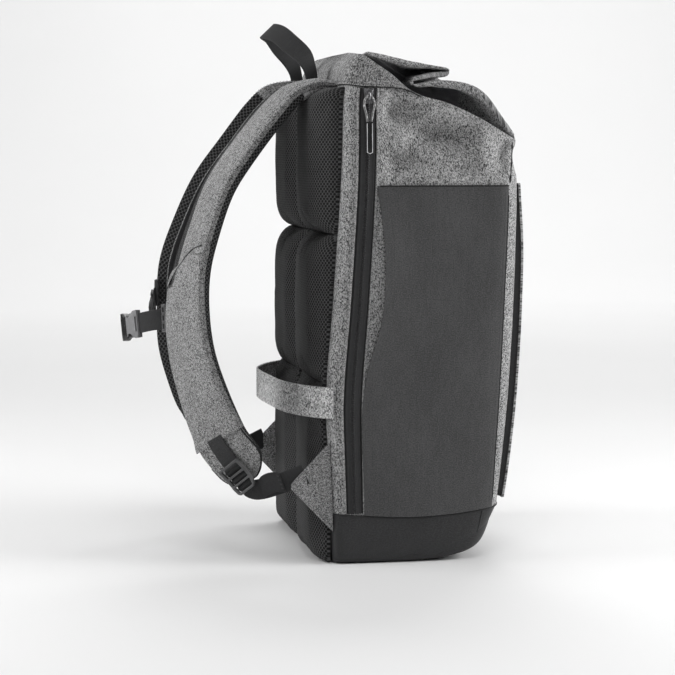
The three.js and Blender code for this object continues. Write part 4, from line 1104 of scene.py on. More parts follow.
def make_zip_slider(matrix):
    long = PULL["slider"]
    slider = new_cube("zip_slider_metal", lambda p: (
        p[0] * PULL_SLIDER["head" if p[1] > 0 else "foot"], p[1] * long, p[2] * PULL_SLIDER["thick"]))
    edit(slider, lambda place, normal: normal[2] > 0.9)
    bpy.ops.mesh.inset(thickness=PULL_SLIDER["inset"])
    extrude((0, 0, PULL_SLIDER["step"]))
    bevelled(slider, PULL_SLIDER["edge"])
    deselect()
    bpy.ops.mesh.primitive_torus_add(
        major_segments=28, minor_segments=10, major_radius=BRIDGE["radius"], minor_radius=BRIDGE["wire"],
        rotation=(0, math.pi / 2, 0), location=(0, 0, BRIDGE["lift"]))
    bridge = bpy.context.object
    bpy.ops.object.transform_apply(location=True, rotation=True, scale=True)
    shape(bridge, lambda p: (p[0] * BRIDGE["wide"], p[1] * BRIDGE["long"], max(p[2], BRIDGE["low"])))
    slider.select_set(True)
    bpy.context.view_layer.objects.active = slider
    bpy.ops.object.join()
    settle(slider, matrix)
    dress(slider, "slider_metal", "slider_metal", ["zip_slider"])


def make_zip_pull():
    matrix = zip_frame()
    make_zip_slider(matrix)
    loop = PULL["loop"]
    half = [(PULL_ROOT, -1), *((x * PULL["spread"], y) for x, y in PULL_LOOP)]
    route = [(-x, y * loop) for x, y in half] + [(0, 0)] + [(x, y * loop) for x, y in half[::-1]]
    points = [(x, y, PULL["high"] + 0.6 * math.sin(-math.pi * y / loop)) for x, y in route]
    line = placed(spline(points, keyed=False)(np.linspace(0, len(points) - 1, 90)), matrix)
    cord = sew("zip_cord_braid", *piping(line, PULL["cord"] / 2, 10), "cord", "pull_cord", ["zip_cord"])

    grip = new_cube("zip_grip_plastic", lambda p: (
        p[0] * 2 * PULL["half"], p[1] * PULL["grip"], p[2] * GRIP["thick"]))
    edit(grip, lambda place, normal: abs(normal[2]) > 0.9)
    bpy.ops.mesh.inset(thickness=GRIP["inset"])
    bpy.ops.mesh.extrude_region_shrink_fatten(TRANSFORM_OT_shrink_fatten={"value": GRIP["swell"]})
    bpy.ops.object.mode_set(mode="OBJECT")
    bevelled(grip, GRIP["edge"], 4)
    place = matrix @ Matrix.Translation((0, -loop - SEAT_GAP - PULL["grip"] / 2, PULL["high"]))
    settle(grip, place)
    dress(grip, "grip", "grip_plastic", ["zip_grip"])
    # A light rim on the grip's face paints the highlight of its glossy edge.
    turn = np.linspace(0, np.pi, 13)
    reach, foot = PULL["half"] - GRIP_HIGHLIGHT["in"], PULL["grip"] / 2 - PULL["half"]
    bow = np.stack([reach * np.cos(turn), -foot - reach * np.sin(turn), 0 * turn], -1)
    ends = [[(side * reach, foot + GRIP_HIGHLIGHT["up"], 0)] for side in (1, -1)]
    rim = np.concatenate([ends[0], bow, ends[1]]) + np.array([0, 0, GRIP_HIGHLIGHT["lift"]])
    rim = placed(spline(rim, keyed=False)(np.linspace(0, len(rim) - 1, 70)), place)
    edge = sew("zip_grip_rim", *piping(rim, GRIP_HIGHLIGHT["wire"]), "rim", "grip_plastic")


# Modelling by hand

def shape(piece, move):
    """Moves each vertex of a piece by a rule."""
    for vertex in piece.data.vertices:
        vertex.co = move(tuple(vertex.co))


def edit(piece, test):
    """Selects the faces that pass a test of their place and normal, and opens edit mode."""
    pick(piece)
    bpy.ops.object.mode_set(mode="EDIT")
    bpy.ops.mesh.select_mode(type="FACE")
    bpy.ops.mesh.select_all(action="DESELECT")
    bpy.ops.object.mode_set(mode="OBJECT")
    for face in piece.data.polygons:
        face.select = bool(test(tuple(face.center), tuple(face.normal)))
    bpy.ops.object.mode_set(mode="EDIT")


def extrude(*moves):
    """Extrudes the selected parts by each move in turn, and closes edit mode."""
    for move in moves:
        bpy.ops.mesh.extrude_region_move(TRANSFORM_OT_translate={"value": move})
    bpy.ops.object.mode_set(mode="OBJECT")


def bevelled(piece, width, segments=3):
    """Rounds the sharp edges of a piece."""
    pick(piece)
    rounding = piece.modifiers.new("rounding", "BEVEL")
    rounding.width = width
    rounding.segments = segments
    rounding.limit_method = "ANGLE"
    rounding.angle_limit = math.radians(BEVEL_ANGLE)
    bpy.ops.object.modifier_apply(modifier=rounding.name)


def settle(piece, matrix):
    """Puts a piece modelled in millimetres in its place, in its mesh."""
    piece.data.transform(Matrix.Scale(MM, 4) @ matrix)
    piece.data.update()


def new_cube(name, move):
    """Cube whose corners are moved by a rule."""
    deselect()
    bpy.ops.mesh.primitive_cube_add(size=1)
    cube = bpy.context.object
    cube.name = name
    shape(cube, move)
    return cube


def nearest(values, value):
    return min(values, key=lambda each: abs(each - value))


def barred_plate(name, plate):
    """Plate of bars: a grid with its lines at the bars' edges, its slots deleted, extruded to a solid."""
    columns, rows, thick = plate["columns"], plate["rows"], plate["thick"]
    deselect()
    bpy.ops.mesh.primitive_grid_add(x_subdivisions=len(columns) - 1, y_subdivisions=len(rows) - 1, size=2)
    piece = bpy.context.object
    piece.name = name
    reach = (len(columns) - 1, len(rows) - 1)
    shape(piece, lambda p: (
        columns[round((p[0] + 1) / 2 * reach[0])], rows[round((p[1] + 1) / 2 * reach[1])], -thick / 2))
    edit(piece, lambda place, normal: any(
        x0 < place[0] < x1 and y0 < place[1] < y1 for x0, x1, y0, y1 in plate["slots"]))
    bpy.ops.mesh.delete(type="FACE")
    bpy.ops.mesh.select_all(action="SELECT")
    bpy.ops.mesh.extrude_region_move(TRANSFORM_OT_translate={"value": (0, 0, thick)})
    bpy.ops.mesh.select_all(action="SELECT")
    bpy.ops.mesh.normals_make_consistent(inside=False)
    bpy.ops.object.mode_set(mode="OBJECT")
    return piece


def basis(x, y, z, place):
    matrix = Matrix.Identity(4)
    for k, axis in enumerate((x, y, z)):
        matrix.col[k].xyz = axis
    matrix.translation = place
    return matrix


def placed(points, matrix):
    """Points of a piece's own space, in millimetres, brought to its place."""
    return points @ np.array(matrix.to_3x3()).T + np.array(matrix.translation)


# Back

def pad_places(size, count):
    """Places over a pad that crowd at its edges."""
    share = np.linspace(0, 1, count)
    return size * lerp(share, 0.5 - 0.5 * np.cos(np.pi * share), 0.75)


def pad_rise(place, size, low, high):
    """Share of a pad's height, rounded off over a reach at each end."""
    inside = np.clip(np.minimum(place / low, (size - place) / high), 0, 1)
    return (1 - (1 - inside) ** PAD["power"]) ** (1 / PAD["power"])


def make_back_pads():
    width = PAD["outer"] - PAD["inner"]
    for name, bottom, top, crown, foot, head in PAD_ROWS:
        height = top - bottom
        for hand, side in SIDES:
            u, v = pad_places(width, 60), pad_places(height, 70)[:, None]
            x, z = np.broadcast_arrays(side * (PAD["inner"] + u), bottom + v)
            wall = wall_y(x, np.maximum(z, SEAM_Z), 1) + PANEL_LIFT
            share = pad_rise(u, width, PAD["round"], PAD["round"]) * pad_rise(v, height, foot, head)
            swell = 1 - PAD["hollow"] * (2 * u / width - 1) ** 2 - PAD["hollow"] * (2 * v / height - 1) ** 2
            outer = np.stack([x, wall + lerp(PAD["edge"], (crown - wall) * swell, share), z], -1)
            outer = outer + (share * lumps(outer, PAD_LUMPS, side))[..., None] * np.array([0, 1, 0])
            outer = plumped(outer, f"back_pad_skin_{name}_{hand}")
            skin = slab(outer, np.stack([x, wall, z], -1), exact=True)
            pad = sew(
                f"back_pad_{name}_{hand}", *skin, "air_mesh", "air_mesh", [f"pad_{name}_{hand}"], 60)


def plumped(skin_grid, name):
    """Front skin of a pad, blown up by a short cloth simulation with its rim pinned and its moves capped."""
    rows, columns = skin_grid.shape[:2]
    faces, _ = grid_faces(skin_grid, 0)
    if normals_of(skin_grid)[rows // 2, columns // 2, 1] < 0:
        faces = faces[:, ::-1]
    skin = new_piece(name, skin_grid.reshape(-1, 3), faces.tolist())
    rim = np.ones((rows, columns), bool)
    rim[2:-2, 2:-2] = False
    skin.vertex_groups.new(name="rim").add(np.flatnonzero(rim).tolist(), 1.0, "REPLACE")
    pick(skin)
    blow = skin.modifiers.new("blow", "CLOTH")
    blow.settings.vertex_group_mass = "rim"
    blow.settings.quality = 5
    blow.settings.mass = 0.15
    blow.settings.shrink_min = -SIMULATION["slack"]
    blow.settings.use_pressure = True
    blow.settings.uniform_pressure_force = SIMULATION["pressure"]
    blow.settings.effector_weights.gravity = 0
    blow.point_cache.frame_start = 1
    blow.point_cache.frame_end = SIMULATION["frames"]
    for number in range(1, SIMULATION["frames"] + 1):
        bpy.context.scene.frame_set(number)
    bpy.ops.object.modifier_apply(modifier=blow.name)
    blown = np.empty(rows * columns * 3, np.float32)
    skin.data.vertices.foreach_get("co", blown)
    bpy.data.objects.remove(skin)
    bpy.context.scene.frame_set(1)
    move = blown.reshape(rows, columns, 3) / MM - skin_grid
    length = np.linalg.norm(move, axis=2, keepdims=True)
    return skin_grid + move * np.minimum(1, SIMULATION["cap"] / np.maximum(length, 1e-6))


def make_trolley_band():
    rows = [(x, y, BAND["z"], 0, 0, 1) for x, y in BAND_ROWS]
    rings, (points, across, out) = band(rows, 150, 2 * BAND["half"], BAND["thick"])
    # The band gets a lighter copy of the cloth: painted light.
    sew("trolley_band_cloth", *tube(rings), "heather_side", "heather_cloth", ["trolley_band"])
    lines = []
    high = BAND["thick"] / 2 + STITCH_LIFT
    for edge in BAND_STITCHES["edges"]:
        face = points + across * edge * BAND["half"] - out * high
        lines.append((face[2:-2], -out[2:-2]))
    for place in BAND_STITCHES["rings"]:
        column = np.linspace(-0.9, 0.9, 12)[:, None] * across[place] * BAND["half"]
        face = points[place] + column - out[place] * high
        lines.append((face, np.broadcast_to(-out[place], face.shape)))
    stitches("trolley_band_stitches", lines, slot="heather_cloth")


def flat_section(width, thick):
    """Section of a flat band with rounded edges."""
    half, height = width / 2, thick / 2
    bend = min(height, 0.7)
    return np.array([
        (-half, -height + bend), (-half + bend, -height), (-half / 3, -height), (half / 3, -height),
        (half - bend, -height), (half, -height + bend), (half, height - bend), (half - bend, height),
        (half / 3, height), (-half / 3, height), (-half + bend, height), (-half, height - bend),
    ])


def ribbon(points, across, out, width, thick):
    """Rings of a flat band along points, with the directions of its width and its thickness."""
    outline = flat_section(width, thick)
    return points[:, None] + outline[None, :, :1] * across[:, None] + outline[None, :, 1:] * out[:, None]


def band(rows, count, width, thick, start=0.0, end=None, lift=0.0):
    """Rings of a flat band along rows that give its middle and the direction of its width."""
    line = spline(rows, keyed=False)
    last = len(rows) - 1
    at = np.linspace(start, last if end is None else end, count)
    here = line(at)
    ahead = unit(line(np.minimum(at + 0.05, last))[:, :3] - line(np.maximum(at - 0.05, 0))[:, :3])
    across = here[:, 3:]
    across = unit(across - ahead * np.sum(across * ahead, 1, keepdims=True))
    out = np.cross(across, ahead)
    points = here[:, :3] + out * lift
    return ribbon(points, across, out, width, thick), (points, across, out)


def sided(rows, side):
    return [(side * x, y, z, side * wx, wy, wz) for x, y, z, wx, wy, wz in rows]


def make_handle():
    left = [(-row[0], *row[1:]) for row in HANDLE_ROWS]
    rows = [*left, HANDLE_CROWN, *HANDLE_ROWS[::-1]]
    rings, _ = band(rows, 150, millimetres("web_width"), HANDLE_THICK)
    sew_web("handle_web", rings, ["handle"])


# Shoulder straps

strap_line = spline(STRAP_ROWS, keyed=False)


def strap_frame(side, at):
    """Points, directions and sizes of a shoulder strap at places on its line."""
    at = np.asarray(at, float)
    inside = np.clip(at, 0, STRAP_END)

    def place(where):
        row = strap_line(np.clip(where, 0, STRAP_END))
        rise, push = (row[..., 7], row[..., 8]) if side > 0 else (0, 0)
        return np.stack([side * row[..., 0], row[..., 1] + push, row[..., 2] + rise], -1)

    row = strap_line(inside)
    ahead = unit(place(inside + 0.02) - place(inside - 0.02))
    ahead = np.where((at <= 0)[..., None], np.array([0.0, 1, 0]), ahead)
    across = unit(np.array([1.0, 0, 0]) - ahead * ahead[..., :1])
    out = np.cross(across, ahead)
    roll = side * np.radians(row[..., 5 if side < 0 else 6])[..., None]
    across, out = (
        axis * np.cos(roll) + np.cross(ahead, axis) * np.sin(roll) for axis in (across, out))
    point = place(inside) + ahead * (np.maximum(at - STRAP_END, 0) * STRAP_STRIDE)[..., None]
    bend = np.clip((inside - TONGUE["round"]) / (STRAP_END + 0.02 - TONGUE["round"]), 0, 1)
    return point, ahead, across, out, row[..., 3] * np.sqrt(1 - bend ** 2), row[..., 4]


def tongue_share(at):
    """How far a place lies on the tongue at the lower end of a strap."""
    return smoothstep(TONGUE["from"] - 0.4, TONGUE["from"] + 0.2, at)


def cut_corners(keys):
    """Rounds a closed outline by cutting its corners twice. Outlines lie along the second axis."""
    for _ in range(2):
        after = np.roll(keys, -1, 1)
        keys = np.stack([lerp(keys, after, 0.25), lerp(keys, after, 0.75)], 2).reshape(len(keys), -1, 2)
    return keys


def strap_rings(side, at, keys):
    """Rings of a strap piece. at and keys hold a row for each ring: places, and outlines in the section."""
    point, _, across, out, _, _ = strap_frame(side, at)
    shift = side * TONGUE["shift"] * smoothstep(TONGUE["from"], TONGUE["to"], at)[..., None]
    return point + (keys[..., :1] + shift) * across + keys[..., 1:] * out


def rounded_outline(half, top, bottom, top_round, bottom_round):
    """Closed outlines of foam: half width, top and bottom heights and the radii of their corners."""
    made = []
    for sign, height, radius, start in (
            (1, top, top_round, 90), (1, bottom, bottom_round, 0), (-1, bottom, bottom_round, -90),
            (-1, top, top_round, 180)):
        rise = np.where(height == top, height - radius, height + radius)
        for angle in np.radians(np.linspace(start, start - 90, 6)):
            made.append(np.stack([
                sign * (half - radius) + radius * np.cos(angle), rise + radius * np.sin(angle)], -1))
    return np.stack(made, 1)


def make_strap_foam(hand, side, at):
    _, _, _, _, half, foam = strap_frame(side, at)
    thick = foam * FOAM_SWELL
    radii = (0 * half + FOAM["top_round"], FOAM["bottom_round"] * thick)
    outline = rounded_outline(half + FOAM["past"], 0 * half, -thick, *radii)
    inner_edge = outline[..., 0] * side < -0.8 * half[:, None]
    lip = FOAM["lip"] * (1 - tongue_share(at))[:, None]
    outline[..., 1] += np.where(inner_edge & (outline[..., 1] > -3), lip, 0)
    rings = strap_rings(side, np.broadcast_to(at[:, None], outline.shape[:2]), outline)
    pad = sew(f"strap_foam_{hand}", *tube(rings), "air_mesh", "air_mesh", [f"strap_pad_{hand}"], 60)
    first, last = BINDING[side]
    column = np.arange(outline.shape[1])
    line_faces(pad, (column >= first) & (column <= last), "binding")
    seam = rings[4:150, BINDING["seam"][side]]
    sew(f"strap_binding_seam_{hand}", *piping(seam, 0.55), "heather_fine", "air_mesh")
    grey_root(pad, side)


def make_straps():
    round_at = lerp(TONGUE["round"], STRAP_END, np.sin(np.linspace(0, np.pi / 2, 25)))
    at = np.concatenate([np.linspace(0, TONGUE["round"], 156), round_at[1:]])
    for hand, side in SIDES:
        make_strap_foam(hand, side, at)
        cover = strap_skin(side, at[:, None], 0.0)
        face = sew(
            f"strap_face_{hand}", *tube(cover), "heather_strap", "heather_cloth", [f"strap_cover_{hand}"], 50)
        shade_wrap(face, cover.shape[1])
        point, _, across, out, half, _ = strap_frame(side, np.linspace(0.15, STRAP_END - 0.3, 300))
        lines = [
            (point + side * across * (edge * half)[:, None] + out * 2.5, out) for edge in STRAP_STITCHES]
        stitches(f"strap_stitches_{hand}", lines, slot="heather_cloth")
        reach = np.sin(np.linspace(0, np.pi / 2, 50))
        outer_at = lerp(TONGUE_EDGE["outer"], STRAP_END, reach)
        inner_at = lerp(STRAP_END, TONGUE_EDGE["inner"], 1 - reach[::-1])
        edge_at = np.concatenate([outer_at, inner_at[1:]])
        half = strap_frame(side, edge_at)[4] + TONGUE_EDGE["out"]
        sign = np.where(np.arange(len(edge_at)) < len(outer_at), side, -side)
        edge = strap_rings(side, edge_at, np.stack([sign * half, 0 * half - TONGUE_EDGE["down"]], -1))
        swell = np.interp(np.arange(len(edge)), [0, 14], [0.2, 0.9])[:, None, None]
        sew(f"strap_tongue_edge_{hand}", *piping(edge, swell), "dark_seam", "air_mesh")


def shade_wrap(face, count):
    """The cloth that wraps over the outer edge of a strap gets a darker copy of its finish: painted shade, as
    that edge turns from the light.
    """
    column = np.arange(count)
    line_faces(face, (column >= WRAP_COLUMNS[0]) & (column <= WRAP_COLUMNS[1]), "heather_wrap_painted_shade")


def grey_root(pad, side):
    """The first stretch of a strap is covered with melange cloth all round."""
    pad.data.materials.append(finish_named("heather_strap"))
    point, ahead, across, _, half, _ = strap_frame(side, np.array([GREY_ROOT[side]]))
    for face in pad.data.polygons:
        offset = np.array(face.center) / MM - point[0]
        sideways = float(offset @ across[0]) / half[0]
        end = GREY_ROOT["bow"] * (1 - sideways ** 2)
        if offset @ ahead[0] < end and face.center.z > GREY_ROOT["above"]:
            face.material_index = len(pad.data.materials) - 1


def strap_skin(side, at, lift, start=None, gape=None, wider=0.0):
    """Cloth over the face of a strap. It wraps over the outer edge of the foam and ends on the inner one."""
    place = at[:, 0]
    _, _, _, _, half, foam = strap_frame(side, place)
    half = half + wider
    edge = half + SKIN["past"] + 0.7 * lift
    narrow = SKIN["narrow"] * window(SKIN["narrows"], SKIN["widens"], place) * (lift == 0)
    inner_edge = (lerp(*SKIN["inner"], tongue_share(place)) - narrow) * half + lift
    wrap = -np.minimum(WRAP, lerp(*SKIN["wrap"], smoothstep(*SKIN["wraps"], place)) * foam * FOAM_SWELL)
    zero = 0 * edge
    high = zero + lift
    outer = [
        (-inner_edge, high + 0.2), (-inner_edge + 0.2, high + 1.3), (-0.8 * inner_edge, high + 2.1),
        (-0.4 * edge, high + 2.9), (zero, high + 3.2), (0.4 * edge, high + 3.0), (0.74 * edge, high + 2.3),
        (0.92 * edge, high + 1.4), (edge + 0.3, high - 0.2), (edge + 0.9, 0.5 * wrap), (edge + 0.9, wrap),
        (edge + 0.9, wrap),
    ]
    inner = [
        (edge + 0.1, wrap), (edge + 0.1, 0.5 * wrap), (edge - 0.5, high - 0.2), (0.9 * edge, high + 0.3),
        (0.4 * edge, high + 0.6), (zero, high + 0.7), (-0.4 * edge, high + 0.6),
    ]
    keys = np.stack([np.stack(pair, -1) for pair in outer + inner], 1)
    keys = cut_corners(keys) * np.array([side, 1])
    share = np.clip(keys[..., 0] / edge[:, None], -1, 1)
    down = np.linspace(0, 1, len(at))[:, None]
    places = np.broadcast_to(at, share.shape) if start is None else lerp(start(share), at[-1, 0], down)
    if gape is not None:
        keys = keys + np.stack([0 * share, gape(share, down)], -1)
    return strap_rings(side, places, keys)


def make_strap_pocket():
    slit_at = spline(SLIT)
    at = np.linspace(slit_at(0.0)[0], STRAP_POCKET["to"], 110)[:, None]

    def start(share):
        return slit_at(np.clip(share, -1.3, 1.3))[..., 0]

    def gape(share, down):
        mouth = np.exp(-((share - MOUTH["at"]) / MOUTH["wide"]) ** 2)
        return MOUTH["gape"] * smoothstep(MOUTH["long"], 0.0, down) * mouth

    rings = strap_skin(-1, at, STRAP_POCKET["lift"], start, gape, STRAP_POCKET["wider"])
    cloth = sew("strap_pocket_cloth", *tube(rings), "heather_strap", "heather_cloth", ["strap_pocket"], 50)
    shade_wrap(cloth, rings.shape[1])

    def on_face(place, share, lift):
        point, _, across, out, half, _ = strap_frame(-1, place)
        return point + across * (share * half)[:, None] + out * lift[:, None], out

    # A dark sheet at the slit paints the shade in the pocket's mouth.
    share = np.linspace(-0.98, 0.98, 90)
    crown = SLIT_SHADE["high"] * (1 - SLIT_SHADE["fall"] * share ** 2)
    mouth = np.exp(-((share - MOUTH["at"]) / SLIT_SHADE_MOUTH["wide"]) ** 2)
    first, last = SLIT_SHADE["lift"]
    upper, _ = on_face(start(share) + SLIT_SHADE["start"], share, crown + first)
    low_at = start(share) + SLIT_SHADE["end"] + SLIT_SHADE_MOUTH["long"] * mouth
    lower, _ = on_face(low_at, share, crown + last + SLIT_SHADE_MOUTH["lift"] * mouth)
    lining = np.stack([upper, lerp(upper, lower, 0.5), lower])
    normals = normals_of(lining)
    normals = normals * np.sign(normals[..., 1:2])
    skin = slab(lining, lining - SLIT_SHADE["thick"] * normals)
    sew("strap_pocket_lining", *skin, "dark_seam", "heather_cloth")
    share = np.linspace(-0.86, 0.86, 60)
    lines = [
        on_face(start(share) + 0.16, share, 0 * share + 4.5),
        on_face(0 * share + STRAP_POCKET["to"] - 0.12, share, 0 * share + 3.9),
    ]
    stitches("strap_pocket_stitches", lines, slot="heather_cloth")


# Buckles, webs and wings

def buckle_frame(side):
    point, ahead, _, out, _, _ = (part[0] for part in strap_frame(side, np.array([BUCKLE_AT])))
    up = -ahead
    return point + out * BUCKLE_LIFT, np.cross(up, out), up, out


def make_buckles():
    for hand, side in SIDES:
        middle, across, up, out = buckle_frame(side)
        buckle = barred_plate(f"ladder_buckle_plastic_{hand}", BUCKLE)
        shape(buckle, lambda p: (
            p[0] * BUCKLE_TAPER.get(nearest(BUCKLE["rows"], p[1]), 1), p[1],
            p[2] + BUCKLE_BOW * (p[1] + 2) ** 2 * (abs(p[1]) > 4)))
        bevelled(buckle, 0.9)
        settle(buckle, basis(across, up, out, middle))
        # The buckles get a lighter copy of the plastic: painted highlight.
        dress(buckle, "plastic_light", "buckle_plastic", [f"ladder_buckle_{hand}"])


def web_rows(side):
    """Rows of the lower web, from under the buckle to the wing."""
    middle, across, up, out = buckle_frame(side)
    start = [(*(middle + up * along + out * lift), *(-side * across)) for along, lift in WEB_START]
    return start + sided(WEB_ROWS, side)


def make_webs():
    width, thick = millimetres("web_width"), millimetres("web_thick")
    for hand, side in SIDES:
        rows = web_rows(side)
        rings, _ = band(rows, 90, width, thick)
        sew_web(f"lower_web_cloth_{hand}", rings, [f"lower_web_{hand}"])
        rings, (points, across, out) = band(
            rows, 40, width, thick, WEB_TAIL["from"], WEB_TAIL["to"], side * WEB_TAIL["lift"])
        slip = across * (WEB_TAIL["slip"] * np.sin(np.pi * np.linspace(0, 1, 40)) ** 0.6)[:, None]
        points = points + slip
        sew_web(f"web_tail_cloth_{hand}", rings + slip[:, None], [f"web_tail_{hand}"])
        lines = []
        for place in (-3, -5):
            row = points[place] + np.linspace(-0.85, 0.85, 10)[:, None] * across[place] * width / 2
            facing = np.broadcast_to(out[place] * side, row.shape)
            lines.append((row + facing * (thick / 2 + STITCH_LIFT), facing))
        stitches(f"web_tail_stitches_{hand}", lines)

        share = np.linspace(0, 1, 50)
        point, _, across, out, _, _ = strap_frame(side, lerp(ANCHOR["from"], ANCHOR["to"], share))
        middle = point + out * lerp(ANCHOR[hand], ANCHOR["end"], share)[:, None]
        sew_web(f"upper_web_cloth_{hand}", ribbon(middle, across, out, width, thick), [f"upper_web_{hand}"])
        top = middle + out * (thick / 2 + STITCH_LIFT)
        lines = []
        for first, last, start, end in STITCH_BOX:
            index = np.linspace(first, last, 24)
            edge = np.linspace(start, end, 24)[:, None] * width / 2
            point, aside, facing = (columns_at(index, np.arange(50), field) for field in (top, across, out))
            lines.append((point + edge * aside, facing))
        stitches(f"upper_web_stitches_{hand}", lines)

        middle, across, up, out = buckle_frame(side)
        rows = [(*(middle + up * along + out * lift), *across) for along, lift in BUCKLE_LOOP]
        rings, _ = band(rows, 60, width, thick)
        sew_web(f"buckle_loop_{hand}", rings)


def make_wings():
    share = np.linspace(0, 1, 40)[:, None]
    z = np.linspace(WING["bottom"], WING["top"], 40)
    half = np.array([WING["thick"] / 2, 0, 0])
    root = left_side(WING["along"], z, SEAT_GAP) - half
    height = (z - (WING["top"] + WING["bottom"]) / 2) * WING["tip_share"]
    end = mirrored(np.array(WING["tip"])) + np.stack([0 * z, 0 * z, height], -1)
    flat = lerp(root[None], end[None], share[..., None])
    fade = np.sin(np.pi * np.linspace(0, 1, 40))[None, :, None]
    for hand, side in SIDES:
        bow = np.sin(np.pi * share) * WING["bow"] + lumps(flat, WING_LUMPS, side)
        middle = flat + bow[..., None] * np.array([1, 0, 0]) * fade
        outer, inner = middle - half, middle + half
        if side > 0:
            outer, inner = mirrored(outer), mirrored(inner)
        skin = slab(outer, inner, exact=True)
        # The wings get a darker copy of the cloth: painted shade.
        sew(f"wing_cloth_{hand}", *skin, "heather_wing", "heather_cloth", [f"wing_{hand}"])
        normals = np.broadcast_to(np.array([float(side), 0, 0]), outer.shape)
        lines = [column_line(outer, column, 60, (0.05, 0.92), normals) for column in (0.05, 0.95)]
        stitches(f"wing_stitches_{hand}", lines, slot="heather_cloth")


# Chest strap

def make_chest_strap():
    width, thick = millimetres("web_width"), millimetres("web_thick")
    for hand, side in SIDES:
        at, web, leave, arrive = CHEST[hand]
        point, ahead, across, _, half, _ = (part[0] for part in strap_frame(side, np.array([at])))
        inward, upward = across * -side, -ahead
        root = point - side * across * (half + SKIN["past"] + SLIDER["depth"] / 2)
        rail = basis(inward, upward, np.cross(inward, upward), root)
        slider = barred_plate(f"chest_slider_plastic_{hand}", SLIDER)
        bevelled(slider, 0.7)
        settle(slider, rail)
        # The near slider gets the lighter copy of the plastic, painted light; the far one gets the plain
        # plastic.
        finish = "plastic_light" if side < 0 else "plastic"
        dress(slider, finish, "buckle_plastic", [f"chest_slider_{hand}"])

        angles = -side * np.radians(np.linspace(leave, arrive, CHEST_STEPS + 1))
        steps = np.stack([np.cos(angles), 0 * angles, -np.sin(angles)], -1) * web / CHEST_STEPS
        steps[0] = (SLIDER["depth"] / 2 + SEAT_GAP + thick / 2, 0, 0)
        places = np.cumsum(steps, 0)
        normals = np.stack([np.sin(angles), 0 * angles, np.cos(angles)], -1)
        upwards = np.broadcast_to(np.array([0.0, 1, 0]), normals.shape)
        rings = ribbon(places, upwards, normals, width, thick)
        rail = rail @ Matrix.Rotation(math.radians(side * CHEST_DROOP[hand]), 4, "Z")
        rings = rings @ np.array(rail.to_3x3()).T + root
        rings = spline(rings, keyed=False)(np.linspace(0, CHEST_STEPS, 50))
        sew_web(f"chest_web_cloth_{hand}", rings, [f"chest_web_{hand}"])
        end = rail @ Matrix.Translation(places[-1]) @ Matrix.Rotation(-side * math.radians(arrive), 4, "Y")
        if side < 0:
            make_socket(end @ Matrix.Translation((SEAT_GAP + SOCKET["length"] / 2, 0, 0)))
        else:
            make_plug(end @ Matrix.Translation((PLUG["reach"], 0, 0)))


def make_socket(matrix):
    socket = barred_plate("chest_socket_plastic", SOCKET)

    def pinch(p):
        waist = SOCKET_WAIST.get(nearest(SOCKET["columns"], p[0]), 0)
        return p[0], p[1] - math.copysign(waist * (abs(p[1]) > 13), p[1]), p[2]

    shape(socket, pinch)
    shape(socket, lambda p: (p[0], p[1], p[2] * (0.72 if p[0] < -5 else 1 - 0.1 * (abs(p[1]) > 10))))
    edit(socket, lambda place, normal: normal[0] > 0.9 and place[0] > 11)
    bpy.ops.mesh.inset(thickness=SOCKET["wall"])
    extrude((-SOCKET["bore"], 0, 0))
    bevelled(socket, 0.7)
    # The mouth end is painted dark as its shade, and the rest gets a pale copy of the plastic as painted
    # highlight.
    dark = [face.index for face in socket.data.polygons if face.center[0] > SOCKET["dark"]]
    settle(socket, matrix)
    dress(socket, "plastic_pale", "buckle_plastic", ["chest_socket"])
    socket.data.materials.append(finish_named("grip"))
    for index in dark:
        socket.data.polygons[index].material_index = 1


def make_plug(matrix):
    plug = barred_plate("chest_plug_plastic", PLUG)
    edit(plug, lambda place, normal: normal[0] > 0.9 and place[0] > 1 and 5.2 < abs(place[1]) < 10.5)
    extrude(*((step, 0, 0) for step in PLUG["prongs"]))
    edit(plug, lambda place, normal: normal[0] > 0.9 and place[0] > 1 and abs(place[1]) < 1.8)
    extrude((PLUG["tongue"], 0, 0))
    shape(plug, lambda p: (
        p[0], p[1] + math.copysign(PLUG["hook"] if abs(p[1]) > 9 else 0, p[1]) * (13 < p[0] < 16), p[2]))
    bevelled(plug, 0.5, 2)
    settle(plug, matrix)
    dress(plug, "plastic", "buckle_plastic", ["chest_plug"])


# Finishes

